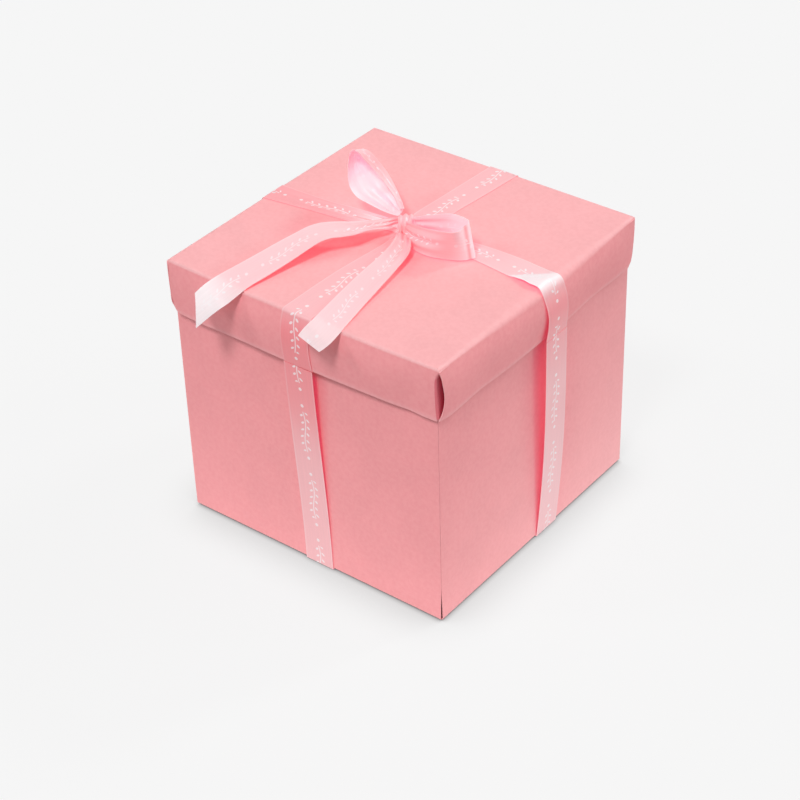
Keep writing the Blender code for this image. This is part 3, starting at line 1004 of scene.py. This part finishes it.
# Strands over the lid: place along the strand, its two edges and how deep it is pleated
CROSS_STRAND = (
    (-87.5, -10.6, 6.0, 0.0),
    (-66.0, -7.6, 6.8, 0.10),
    (-54.0, -6.0, 7.6, 0.20),
    (-43.0, -4.8, 9.2, 0.30),
    (-31.0, -3.2, 10.4, 0.60),
    (-20.0, -1.0, 11.4, 0.90),
    (-10.0, 1.0, 9.5, 0.90),
    (-2.0, 1.5, 7.6, 0.70),
    (8.0, 1.2, 8.6, 0.70),
    (20.0, 2.0, 12.5, 0.60),
    (34.0, 3.9, 16.8, 0.30),
    (50.0, 2.5, 18.1, 0.10),
    (66.0, 0.6, 18.1, 0.0),
    (76.0, -0.4, 17.3, 0.0),
    (84.0, -2.1, 16.8, 0.0),
)
LONG_STRAND = (
    (-87.0, -8.4, 10.6, 0.0),
    (-50.0, -7.8, 11.0, 0.0),
    (-20.0, -5.0, 9.0, 0.3),
    (-6.0, -4.0, 5.0, 0.6),
    (4.5, -4.4, 3.8, 0.6),
    (14.0, -8.0, 5.4, 0.5),
    (24.0, -9.9, 6.6, 0.3),
    (41.0, -8.9, 8.0, 0.1),
    (60.0, -7.8, 10.0, 0.0),
    (87.0, -6.2, 12.2, 0.0),
)
# The same strands down the skirts: depth below the top, and the two edges along that side
SKIRT_STRANDS = {
    "front": ((0, -8.4, 10.6), (14, -8.3, 10.6), (31.5, -8.5, 10.4)),
    "right": ((0, -2.1, 16.8), (6, -1.3, 17.7), (17, 0.3, 18.6), (31.5, -0.6, 18.4)),
    "back": ((0, -12.2, 6.2), (31.5, -12.6, 6.4)),
    "left": ((0, -6.0, 10.6), (31.5, -7.4, 11.2)),
}
# Before it turns over the right edge the ribbon lifts in a facet from a crease across it, with a
# painted highlight on the facet
CREASE_FROM = 68.0
CREASE_TO = 87.0
FACET_RISE = 2.0
FACET_REACH = 12.0
FACET_BELOW_TOP = 3.0
FACET_HIGHLIGHT_OVER = 3.0
FACET_HIGHLIGHT_START = 0.3
# Where the ribbon beside the knot is gathered, and how far about that; it is paler there, partly as
# satin lifted off the card and partly as painted highlight on the gathers
GATHER_PLACE = -20.0
GATHER_REACH = 13.0
GATHER_PALE = 0.8
# Where one run humps over the other under the knot: half its top, and its slopes
HUMP_HALF = 10.0
HUMP_SLOPE = 5.0
STRAND_FOLD_ROWS = 8
STRAND_SKIRT_ROWS = 10
# How the deeper pink comes in from the lid's edge to the hem, as the start and end of a smooth step;
# on the skirts it is partly the card's pink and partly painted shade
TURN_FROM = -0.3
TURN_TO = 1.6
# How far the ribbon stands off each skirt at the hem
LIFT_OFF = {"front": 0.0, "right": 2.4, "back": 0.0, "left": 0.0}


def strand_side_rows(side, clear):
    """The strand's edges round the lid's fold and down its skirt, from the top to the hem."""
    stations = SKIRT_STRANDS[side]
    middle = (stations[0][1] + stations[0][2]) / 2
    radius = float(through(SKIRT_FOLD[side], middle)) + clear
    fold_out = float(skirt_point(side, middle, radius)) + clear - radius
    depths, lows, highs = [], [], []
    for angle in np.linspace(0, math.pi / 2, STRAND_FOLD_ROWS):
        depth = radius * (1 - math.cos(angle)) - clear
        outward = fold_out + radius * math.sin(angle)
        low, high = through(stations, max(depth, 0))
        depths.append(depth)
        lows.append((low, outward))
        highs.append((high, outward))
    for depth in np.linspace(radius - clear, SKIRT_DEPTH, STRAND_SKIRT_ROWS)[1:]:
        down = (depth - radius + clear) / (SKIRT_DEPTH - radius + clear)
        off = clear + LIFT_OFF[side] * down
        depths.append(depth)
        for edge, place in zip((lows, highs), through(stations, depth)):
            edge.append((place, float(skirt_point(side, place, depth)) + off))
    level = LID_TOP - np.array(depths)
    return [side_points(side, *np.array(edge).T, level) for edge in (lows, highs)]


def crossing_edges(axis, place, low, high, level):
    """The two edges of a run that goes along x, where axis is 0, or along y."""
    if axis == 0:
        return np.stack([place, low, level], -1), np.stack([place, high, level], -1)
    return np.stack([high, place, level], -1), np.stack([low, place, level], -1)


def top_strand(stations, axis, sides, clear, hump):
    """A strand over the lid and down two opposite skirts, and how far the pink shows through."""
    place, low, high, pleat = catmull_rom(stations, CURVE_STEPS).T
    rise = hump * (1 - ease((np.abs(place - KNOT[axis]) - HUMP_HALF) / HUMP_SLOPE))
    level = np.full_like(place, LID_TOP + clear) + rise
    left, right = crossing_edges(axis, place, low, high, level)
    ends = [TOP_PINK_AND_LIGHT[side] for side in sides]
    pink_and_light = ends[0] + (ends[1] - ends[0]) * (place - place[0]) / (place[-1] - place[0])
    parts = [(left, right, pleat, pink_and_light)]
    for side, row in zip(sides, (0, -1)):
        a, b = strand_side_rows(side, clear)
        run = np.array([*SIDES[side][1], 0.0])
        if (left[row] - right[row]) @ run > 0:
            a, b = b, a
        turned = ease(np.linspace(TURN_FROM, TURN_TO, len(a)))
        side_pink_and_light = TOP_PINK_AND_LIGHT[side] + (SKIRT_PINK_AND_SHADE - TOP_PINK_AND_LIGHT[side]) * turned
        hem = np.linspace(0, 1, len(a)) ** 3
        side_pink_and_light = side_pink_and_light + (HEM_PINK_AND_SHADE[side] - SKIRT_PINK_AND_SHADE) * hem
        part = (a, b, np.zeros(len(a)), side_pink_and_light)
        if row == 0:
            parts.insert(0, tuple(piece[::-1] for piece in part))
        else:
            parts.append(part)
    left, right, pleat, pink_and_light = (np.concatenate(pieces) for pieces in zip(*parts))
    grid, run = ribbon_grid(left, right, pleat=pleat)
    return grid, run, pink_and_light


def lift_facet(grid, run, pink_and_light):
    """Lifts the facet before the right edge, and gives the shares of deeper pink, with a painted
    highlight on the facet and a paler gather beside the knot.
    """
    across = run[..., 0] / (2 * RIBBON_HALF * MM) + 0.5
    beyond = grid[..., 0] - CREASE_FROM - (CREASE_TO - CREASE_FROM) * across
    on_top = np.clip((grid[..., 2] - LID_TOP + FACET_BELOW_TOP) / FACET_BELOW_TOP, 0, 1)
    grid[..., 2] += FACET_RISE * np.clip(beyond / FACET_REACH, 0, 1) * on_top
    # painted highlight: the facet is left pale
    pale = ease(beyond / FACET_HIGHLIGHT_OVER + FACET_HIGHLIGHT_START) * on_top
    pink_and_light = pink_and_light[:, None] + (FACET_PAINTED_HIGHLIGHT - pink_and_light[:, None]) * pale
    # paler gathers beside the knot: partly lifted satin, partly painted highlight
    gathered = np.exp(-(((grid[..., 0] - GATHER_PLACE) / GATHER_REACH) ** 2))
    return pink_and_light + (GATHER_PINK_AND_HIGHLIGHT - pink_and_light) * GATHER_PALE * gathered


class GIFTBOX_OT_top_strands(bpy.types.Operator):
    """Lay the ribbon's two runs over the lid, down to the hem of its skirts"""

    bl_idname = "giftbox.top_strands"
    bl_label = "Ribbon over the lid"

    def execute(self, context):
        for name, stations, axis, sides, clear, hump in (
            ("ribbon_over_left_right", CROSS_STRAND, 0, ("left", "right"), 0.30, 0.0),
            ("ribbon_over_front_back", LONG_STRAND, 1, ("front", "back"), 0.32, 0.75),
        ):
            grid, run, pink_and_light = top_strand(stations, axis, sides, clear, hump)
            if axis == 0:
                pink_and_light = lift_facet(grid, run, pink_and_light)
            strand = ribbon_object(name, grid, run, "satin_laid", pink_and_light)
            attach(strand, "lid")
            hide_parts("ribbon_cross_strand" if axis == 0 else "ribbon_long_strand")
        return {"FINISHED"}


# Runs down the walls: where the ribbon's middle is along each side, at the hem and at the foot
SIDE_STRANDS = {"front": (0.95, 3.9), "right": (8.9, 10.4), "back": (-3.1, -4.5), "left": (1.9, -1.0)}
STAND_OFF = {"front": 0.4, "right": 2.0, "back": 0.1, "left": 0.45}
# How late each run leaves the wall on its way up: 1 is evenly, more is later
WALL_LEAVING = {"front": 1.6, "right": 1.0, "back": 1.1, "left": 1.0}
# Each run's clearance at its foot and head, and how far it ends above the floor and below the hem
FOOT_CLEAR = 0.425
HEAD_CLEAR = 0.42
FOOT_LEVEL = 0.15
HEAD_DROP = 0.3
WALL_STRAND_ROWS = 33
WALL_STRAND_CUP = 0.35
WALL_STRAND_TURN = 1.1
WALL_PRINT_START = 0.07
UNDER_ROWS = 25
UNDER_LEVELS = (0.13, 0.15)


class GIFTBOX_OT_side_strands(bpy.types.Operator):
    """Hang the ribbon's four runs down the walls, and lay the cross under the base"""

    bl_idname = "giftbox.side_strands"
    bl_label = "Ribbon down the walls"

    def execute(self, context):
        share = np.linspace(0, 1, WALL_STRAND_ROWS)
        for side, (head_place, foot_place) in SIDE_STRANDS.items():
            foot = WALL_HALF + FOOT_CLEAR
            hem = LID_HALF + float(through(SKIRT_FLARE[side], head_place))
            head = hem + HEAD_CLEAR + LIFT_OFF[side]
            level = FOOT_LEVEL + share * (SKIRT_BOTTOM - HEAD_DROP - FOOT_LEVEL)
            leaving = (head - foot) * share ** WALL_LEAVING[side]
            outward = foot + leaving + STAND_OFF[side] * np.sin(math.pi * share)
            turned = ease((share - 0.5) * WALL_STRAND_TURN + 0.5)
            place = foot_place + (head_place - foot_place) * turned
            left = side_points(side, place - RIBBON_HALF, outward, level)
            right = side_points(side, place + RIBBON_HALF, outward, level)
            cup = -WALL_STRAND_CUP * np.sin(math.pi * share)
            grid, run = ribbon_grid(left, right, cup=cup, start=WALL_PRINT_START)
            pink_and_light = through(WALL_PINK_AND_LIGHT[side], share)
            strand = ribbon_object(f"ribbon_down_{side}", grid, run, "satin_laid", pink_and_light)
            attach(strand, f"ribbon_{side}")
            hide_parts(f"ribbon_{side}_strand")
        share = np.linspace(0, 1, UNDER_ROWS)
        out = WALL_HALF * (2 * share - 1)
        for name, axis, sides in (
            ("ribbon_under_left_right", 0, ("left", "right")),
            ("ribbon_under_front_back", 1, ("front", "back")),
        ):
            start, end = (sum(SIDES[side][1]) * SIDE_STRANDS[side][1] for side in sides)
            middle = start + (end - start) * share
            level = np.full_like(out, UNDER_LEVELS[axis])
            edges = crossing_edges(axis, out, middle - RIBBON_HALF, middle + RIBBON_HALF, level)
            grid, run = ribbon_grid(*edges)
            strip = ribbon_object(name, grid, run, "satin_laid", SHOWS_UNDER)
            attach(strip, "root")
            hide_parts("ribbon_under_cross")
        return {"FINISHED"}


# Knot: the direction that the bow runs through it, and the half sizes of the band round it
KNOT_PLACE = (-0.6, 3.6, 171.6)
KNOT_AXIS = (0.8, 0.6, 0.0)
KNOT_SIZES = (4.2, 5.6, 5.8)
# Its gathers: how many to each side, how deep, how far they sway, and how far its rims draw in
KNOT_GATHERS = 1.5
KNOT_GATHER_DEPTH = 0.55
KNOT_GATHER_SHIFT = 0.6
KNOT_SWAY = 0.5
KNOT_RIM = 1.3
KNOT_UNEVEN = 0.12
KNOT_UNEVEN_TURN = 0.4
KNOT_ROWS = 57
KNOT_COLUMNS = 25
KNOT_PRINT_STRETCH = 5


class GIFTBOX_OT_knot(bpy.types.Operator):
    """Wrap the knot: a gathered band of ribbon round the middle of the bow"""

    bl_idname = "giftbox.knot"
    bl_label = "Knot"

    def execute(self, context):
        turns = np.linspace(0, 2 * math.pi, KNOT_ROWS)[:, None]
        share = np.linspace(-1, 1, KNOT_COLUMNS)[None, :]
        reach, deep, tall = KNOT_SIZES
        sway = KNOT_SWAY * np.sin(turns)
        gather = np.cos(2 * math.pi * KNOT_GATHERS * share + KNOT_GATHER_SHIFT + sway)
        gather = KNOT_GATHER_DEPTH * gather - KNOT_RIM * np.abs(share) ** 3
        width = reach * (1 + KNOT_UNEVEN * np.sin(turns - KNOT_UNEVEN_TURN))
        axis, up = unit(KNOT_AXIS), np.array([0, 0, 1.0])
        grid = np.array(KNOT_PLACE) + (share * width + sway)[..., None] * axis
        grid = grid + ((deep + gather) * np.cos(turns))[..., None] * np.cross(axis, up)
        grid = grid + ((tall + gather) * np.sin(turns))[..., None] * up
        run = np.zeros((*grid.shape[:2], 2))
        run[..., 0] = share * RIBBON_HALF * MM
        run[..., 1] = turns * KNOT_PRINT_STRETCH * MM
        knot = ribbon_object("ribbon_knot_wrap", grid, run, "satin_loop", KNOT_DEEP_SHARE)
        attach(knot, "lid")
        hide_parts("ribbon_knot")
        return {"FINISHED"}


# Loops and tails, station by station: one edge (x, y, z), the other edge (x, y, z), how far the
# middle is cupped, how deep the ribbon is pleated, and how far it is moved to its deeper pink, partly
# the card's pink near the lid and partly painted shade, with pale rows as painted highlight
REAR_LOOP = (
    (-6.3, 4.0, 175.2, -8.1, 10.8, 174.5, 0.0, 0.9, 0.15),
    (-13.9, 2.5, 175.9, -10.2, 12.7, 177.2, 0.0, 1.0, 0.08),
    (-23.7, 1.8, 177.7, -16.3, 15.6, 181.4, 0.0, 0.8, 0.0),
    (-32.3, 1.5, 179.6, -21.5, 15.5, 187.1, -0.3, 0.4, 0.0),
    (-38.0, 2.8, 183.4, -30.2, 18.9, 189.9, -0.5, 0.15, 0.0),
    (-41.1, 5.3, 188.1, -39.8, 24.1, 190.7, -0.4, 0.0, 0.0),
    (-42.7, 7.7, 193.9, -45.1, 26.5, 192.3, 0.0, 0.0, 0.12),
    (-42.8, 9.4, 199.2, -47.4, 26.8, 193.0, 0.0, 0.0, 0.15),
    (-40.8, 9.8, 202.2, -46.0, 26.0, 193.8, 0.0, 0.0, 0.15),
    (-36.7, 9.4, 202.4, -42.1, 25.5, 194.0, 0.2, 0.0, 0.35),
    (-31.1, 8.2, 199.8, -36.6, 24.6, 191.8, 0.4, 0.2, 0.5),
    (-23.1, 7.4, 195.3, -29.7, 23.5, 187.6, 0.4, 0.5, 0.4),
    (-15.3, 6.7, 189.6, -22.0, 20.8, 182.7, 0.3, 0.8, 0.3),
    (-9.8, 6.3, 184.2, -14.0, 16.1, 178.7, 0.0, 1.0, 0.35),
    (-5.9, 5.5, 179.0, -7.5, 11.4, 175.7, 0.0, 0.9, 0.25),
)
# Round its end, pale rows paint highlights on the turning ribbon and a deeper row paints a shaded
# line
RIGHT_LOOP = (
    (0.9, -2.1, 169.5, -0.2, 1.4, 175.5, 0.0, 0.7, 0.55),
    (11.5, -8.1, 168.0, 7.7, -1.0, 177.5, 0.3, 0.9, 0.45),
    (18.7, -9.7, 167.6, 20.3, -6.1, 181.5, 0.5, 0.7, 0.4),
    (26.1, -9.0, 167.4, 31.5, -8.7, 184.8, 0.6, 0.3, 0.34),
    (34.4, -6.0, 167.3, 38.0, -7.8, 185.8, 0.5, 0.0, 0.3),
    (39.2, -3.7, 167.3, 40.3, -5.6, 186.0, 0.2, 0.0, 0.14),
    (42.4, -1.2, 167.3, 40.9, -2.6, 186.0, 0.0, 0.0, 0.0),
    (43.2, 0.1, 167.35, 40.4, -0.6, 186.1, 0.0, 0.0, 0.15),
    (43.7, 1.2, 167.4, 40.1, 1.5, 186.2, 0.0, 0.0, 0.5),
    (44.6, 2.2, 167.45, 40.4, 3.7, 186.1, 0.0, 0.0, 0.0),
    (45.1, 4.0, 167.5, 38.8, 7.0, 186.0, 0.0, 0.0, 0.0),
    (40.0, 9.0, 167.6, 34.6, 8.4, 186.0, 0.2, 0.0, 0.0),
    (31.0, 10.0, 167.5, 28.7, 8.4, 186.0, 0.3, 0.1, 0.0),
    (23.5, 10.0, 167.6, 23.2, 7.0, 185.3, 0.3, 0.2, 0.05),
    (15.5, 8.8, 168.2, 15.2, 4.3, 183.0, 0.2, 0.4, 0.05),
    (9.5, 7.5, 169.0, 7.8, 3.4, 180.0, 0.0, 0.5, 0.1),
    (4.0, 6.0, 170.0, 0.2, 4.4, 176.0, 0.0, 0.5, 0.15),
)
LONG_TAIL = (
    (-4.0, 5.5, 173.6, -4.6, 6.6, 170.9, 0.0, 0.4, 0.15),
    (-7.2, 3.3, 174.5, -6.7, 2.5, 170.6, 0.0, 0.2, 0.35),
    (-9.9, -2.8, 175.8, -7.1, -6.5, 172.3, 0.0, 0.3, 0.42),
    (-14.1, -10.4, 176.8, -10.8, -15.6, 174.3, 0.3, 0.4, 0.42),
    (-19.7, -16.3, 177.2, -12.7, -26.0, 176.0, 0.6, 0.7, 0.38),
    (-26.3, -20.9, 177.2, -17.1, -32.4, 176.4, 0.8, 0.5, 0.32),
    (-34.0, -26.3, 176.6, -19.5, -37.0, 177.2, 0.8, 0.2, 0.28),
    (-38.9, -31.8, 175.4, -23.0, -42.0, 176.1, 0.7, 0.0, 0.25),
    (-41.9, -39.2, 174.0, -25.6, -49.0, 174.0, 0.6, 0.0, 0.28),
    (-45.3, -50.3, 172.4, -29.0, -60.0, 170.9, 0.5, 0.0, 0.3),
    (-48.5, -65.6, 170.9, -31.9, -74.7, 168.8, 0.4, 0.0, 0.3),
    (-51.1, -78.8, 169.9, -34.3, -87.3, 167.4, 0.4, 0.0, 0.3),
    (-52.9, -87.2, 169.2, -35.8, -94.5, 165.4, 0.5, 0.0, 0.25),
    (-54.6, -93.3, 168.0, -37.8, -100.4, 162.8, 0.7, 0.0, 0.12),
    (-56.7, -98.2, 165.8, -41.1, -107.1, 159.6, 0.7, 0.0, 0.0),
    (-59.2, -102.2, 162.3, -50.3, -112.8, 149.5, 0.3, 0.0, 0.0),
)
FRONT_TAIL = (
    (-2.2, 1.0, 168.6, 2.6, 2.4, 168.6, 0.0, 0.5, 0.3),
    (-1.2, -3.6, 170.2, 7.2, -3.4, 170.2, 0.0, 0.7, 0.3),
    (2.53, -10.2, 172.0, 13.53, -10.6, 172.3, 0.2, 0.7, 0.42),
    (3.55, -16.91, 170.0, 17.35, -17.51, 170.8, 0.5, 0.5, 0.42),
    (4.35, -27.51, 168.8, 20.25, -30.81, 170.0, 0.6, 0.2, 0.28),
    (5.48, -43.47, 168.2, 23.38, -49.87, 168.8, 0.5, 0.0, 0.28),
    (7.53, -59.4, 168.0, 25.53, -65.6, 167.5, 0.4, 0.0, 0.28),
    (10.25, -75.26, 168.2, 28.35, -80.76, 166.9, 0.4, 0.0, 0.26),
    (13.3, -93.5, 168.2, 31.2, -99.0, 165.4, 0.4, 0.0, 0.25),
    (12.4, -99.0, 166.0, 30.5, -104.6, 163.9, 0.3, 0.0, 0.22),
    (10.8, -102.1, 162.5, 29.0, -107.6, 162.6, 0.1, 0.0, 0.15),
)


def bow_piece(name, stations, start, finish):
    """One loop or tail of the bow, which stands for the node of its name.

    A tail's part past the lid's front edge lets less light through, as if it were doubled.
    """
    rows = catmull_rom(stations, CURVE_STEPS)
    cup, pleat, pink_and_light = rows[:, 6:].T
    grid, run = ribbon_grid(rows[:, :3], rows[:, 3:6], cup=cup, pleat=pleat, start=start)
    piece = ribbon_object(name + "_satin", grid, run, finish, pink_and_light)
    if finish == "satin_tail":
        piece.data.materials.append(material("satin_doubled"))
        for face in piece.data.polygons:
            if face.center.y < -LID_HALF * MM:
                face.material_index = 1
    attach(piece, "lid")
    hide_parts(name)


class GIFTBOX_OT_loops(bpy.types.Operator):
    """Make the bow's two loops, gathered where they enter the knot"""

    bl_idname = "giftbox.loops"
    bl_label = "Bow loops"

    def execute(self, context):
        bow_piece("ribbon_rear_loop", REAR_LOOP, 0.02, "satin_loop")
        bow_piece("ribbon_right_loop", RIGHT_LOOP, 0.01, "satin_loop")
        return {"FINISHED"}


class GIFTBOX_OT_tails(bpy.types.Operator):
    """Lay the ribbon's two tails over the lid and past its front edge"""

    bl_idname = "giftbox.tails"
    bl_label = "Ribbon tails"

    def execute(self, context):
        bow_piece("ribbon_long_tail", LONG_TAIL, 0.0, "satin_tail")
        bow_piece("ribbon_front_tail", FRONT_TAIL, 0.0365, "satin_tail")
        return {"FINISHED"}


# Stage. Shares are of the light at which a colour renders as it is written
BACKGROUND = 0.922
AMBIENT = 0.27
SKY_AT_HORIZON = 1.3
SKY_OVERHEAD = 0.4
FLOOR_RADIUS = 5.0
FLOOR_LEVEL = -0.0004
FLOOR_ALBEDO = 0.895
FLOOR_EVEN_SHARE = 0.92
# The object's shadow where it stands: how far each reaches, and how dark it is
FLOOR_SHADOWS = ((0.034, 0.68), (0.0035, 0.95))
FLOOR_SHADOW_FALL = 1.5
# What the floor throws back on the object: from near to far
FLOOR_BOUNCE_EVEN_SHARE = 0.70
FLOOR_BOUNCE_REACH = (0.09, 0.42)
FLOOR_BOUNCE = (0.98, 0.45)
# Soft lamps: the direction each shines from, its width in degrees and its share of the light
LAMPS = {
    "key_front": ((0.20, -1.00, 1.50), 13.0, 0.50),
    "soft_left": ((-0.77, -0.64, 0.75), 12.0, 0.15),
    "soft_right": ((0.42, 0.96, 0.80), 10.0, 0.27),
    "soft_side": ((1.00, 0.70, 0.55), 30.0, 0.27),
    "soft_overhead": ((0.05, -0.45, 1.00), 40.0, 0.06),
}


def seen(tree):
    """1 where the camera sees a surface straight, or in a mirror or through glass."""
    larger = partial(maths, tree, "MAXIMUM")
    rays = node(tree, "ShaderNodeLightPath").outputs
    first = larger(rays["Is Camera Ray"], rays["Is Glossy Ray"])
    return larger(first, rays["Is Transmission Ray"])


class GIFTBOX_OT_stage(bpy.types.Operator):
    """Set the pale floor, the soft light and the camera"""

    bl_idname = "giftbox.stage"
    bl_label = "Stage"

    def execute(self, context):
        scene = context.scene
        scene.view_settings.view_transform = "Standard"
        self.floor()
        self.world(scene)
        self.lamps(scene)
        self.camera(scene)
        return {"FINISHED"}

    def floor(self):
        """A round paper floor: even to the camera, matt to the object, with a shadow at its foot."""
        builder = bmesh.new()
        bmesh.ops.create_circle(builder, cap_ends=True, segments=96, radius=FLOOR_RADIUS)
        bmesh.ops.translate(builder, verts=builder.verts, vec=(0, 0, FLOOR_LEVEL))
        floor = object_from(builder, "floor")
        paper, tree = new_tree("floor_paper")
        less, times, power = sums(tree, "SUBTRACT", "MULTIPLY", "POWER")
        straight = seen(tree)
        place = node(tree, "ShaderNodeNewGeometry").outputs["Position"]
        length = node(tree, "ShaderNodeVectorMath", {0: place}, operation="LENGTH")
        distance = length.outputs["Value"]
        bounce = grey_of(tree, ranged(tree, distance, *FLOOR_BOUNCE_REACH, *FLOOR_BOUNCE))
        paper_grey = (FLOOR_ALBEDO, FLOOR_ALBEDO, FLOOR_ALBEDO, 1)
        even_grey = (BACKGROUND, BACKGROUND, BACKGROUND, 1)
        for reach, depth in FLOOR_SHADOWS:
            nearby = node(tree, "ShaderNodeAmbientOcclusion", {"Distance": reach}, samples=16)
            shut = power(less(1.0, nearby.outputs["AO"]), FLOOR_SHADOW_FALL)
            contact = grey_of(tree, less(1.0, times(shut, depth)))
            even_grey = mixed(tree, 1.0, even_grey, contact, blend="MULTIPLY")
        matt_colour = mixed(tree, straight, bounce, paper_grey)
        even_colour = mixed(tree, straight, bounce, even_grey)
        matt = node(tree, "ShaderNodeBsdfDiffuse", {"Color": matt_colour}).outputs[0]
        even = node(tree, "ShaderNodeEmission", {"Color": even_colour}).outputs[0]
        shares = (FLOOR_BOUNCE_EVEN_SHARE, FLOOR_EVEN_SHARE)
        even_share = ranged(tree, straight, 0, 1, *shares, smooth=False)
        surface = mixed_surfaces(tree, even_share, matt, even)
        floor.data.materials.append(finished(paper, tree, surface, paper_grey))

    def world(self, scene):
        """A pale backdrop to the camera, and to the object a faint light from above and around."""
        world = bpy.data.worlds.new("studio")
        world.use_nodes = True
        tree = world.node_tree
        tree.nodes.clear()
        add, less, times = sums(tree, "ADD", "SUBTRACT", "MULTIPLY")
        straight = seen(tree)
        place = node(tree, "ShaderNodeTexCoord").outputs["Generated"]
        height = node(tree, "ShaderNodeSeparateXYZ", {0: place}).outputs[2]
        shares = (SKY_AT_HORIZON * AMBIENT, SKY_OVERHEAD * AMBIENT)
        sky = ranged(tree, height, 0.0, 1.0, *shares, smooth=False)
        strength = add(times(straight, BACKGROUND), times(less(1.0, straight), sky))
        light = node(tree, "ShaderNodeBackground", {"Color": (1, 1, 1, 1), "Strength": strength})
        output = node(tree, "ShaderNodeOutputWorld")
        tree.links.new(light.outputs[0], output.inputs["Surface"])
        scene.world = world

    def lamps(self, scene):
        """The soft lamps, each turned to shine from its direction."""
        for name, (direction, spread, share) in LAMPS.items():
            light = bpy.data.lights.new(name, "SUN")
            light.energy = math.pi * share
            light.angle = math.radians(spread)
            lamp = bpy.data.objects.new(name, light)
            lamp.rotation_mode = "QUATERNION"
            lamp.rotation_quaternion = Vector(direction).to_track_quat("Z", "Y")
            scene.collection.objects.link(lamp)

    def camera(self, scene):
        """The camera, turned by its azimuth, elevation and roll."""
        reach = math.cos(CAMERA_ELEVATION)
        x, y = math.sin(CAMERA_AZIMUTH) * reach, -math.cos(CAMERA_AZIMUTH) * reach
        back = Vector((x, y, math.sin(CAMERA_ELEVATION)))
        level = Vector((math.cos(CAMERA_AZIMUTH), math.sin(CAMERA_AZIMUTH), 0))
        upright = back.cross(level)
        right = level * math.cos(CAMERA_ROLL) + upright * math.sin(CAMERA_ROLL)
        up = upright * math.cos(CAMERA_ROLL) - level * math.sin(CAMERA_ROLL)
        camera = bpy.data.objects.new("camera", bpy.data.cameras.new("camera"))
        camera.data.lens = CAMERA_LENS
        camera.data.sensor_width = CAMERA_SENSOR
        turn = Matrix((right, up, back)).transposed()
        camera.matrix_world = Matrix.Translation(CAMERA_PLACE) @ turn.to_4x4()
        scene.collection.objects.link(camera)
        scene.camera = camera


class GIFTBOX_PT_panel(bpy.types.Panel):
    """Lists the pieces of the gift box"""

    bl_idname = "GIFTBOX_PT_panel"
    bl_label = "Gift box"
    bl_space_type = "VIEW_3D"
    bl_region_type = "UI"
    bl_category = "Gift box"

    def draw(self, context):
        layout = self.layout
        for group in (context.scene.gift_box_sizes, context.scene.gift_box_colours):
            for name in group.__annotations__:
                layout.prop(group, name)
        for operator in OPERATORS:
            layout.operator(operator.bl_idname)


OPERATORS = (
    GIFTBOX_OT_lid,
    GIFTBOX_OT_outer_walls,
    GIFTBOX_OT_inner_card,
    GIFTBOX_OT_top_strands,
    GIFTBOX_OT_side_strands,
    GIFTBOX_OT_knot,
    GIFTBOX_OT_loops,
    GIFTBOX_OT_tails,
    GIFTBOX_OT_stage,
)
CLASSES = (GiftBoxSizes, GiftBoxColours, *OPERATORS, GIFTBOX_PT_panel)


def register():
    for entry in CLASSES:
        bpy.utils.register_class(entry)
    bpy.types.Scene.gift_box_sizes = PointerProperty(type=GiftBoxSizes)
    bpy.types.Scene.gift_box_colours = PointerProperty(type=GiftBoxColours)


def unregister():
    del bpy.types.Scene.gift_box_colours
    del bpy.types.Scene.gift_box_sizes
    for entry in reversed(CLASSES):
        bpy.utils.unregister_class(entry)


def main():
    """Makes every piece in order."""
    register()
    bpy.ops.giftbox.lid()
    bpy.ops.giftbox.outer_walls()
    bpy.ops.giftbox.inner_card()
    bpy.ops.giftbox.top_strands()
    bpy.ops.giftbox.side_strands()
    bpy.ops.giftbox.knot()
    bpy.ops.giftbox.loops()
    bpy.ops.giftbox.tails()
    bpy.ops.giftbox.stage()


if __name__ == "__main__":
    main()
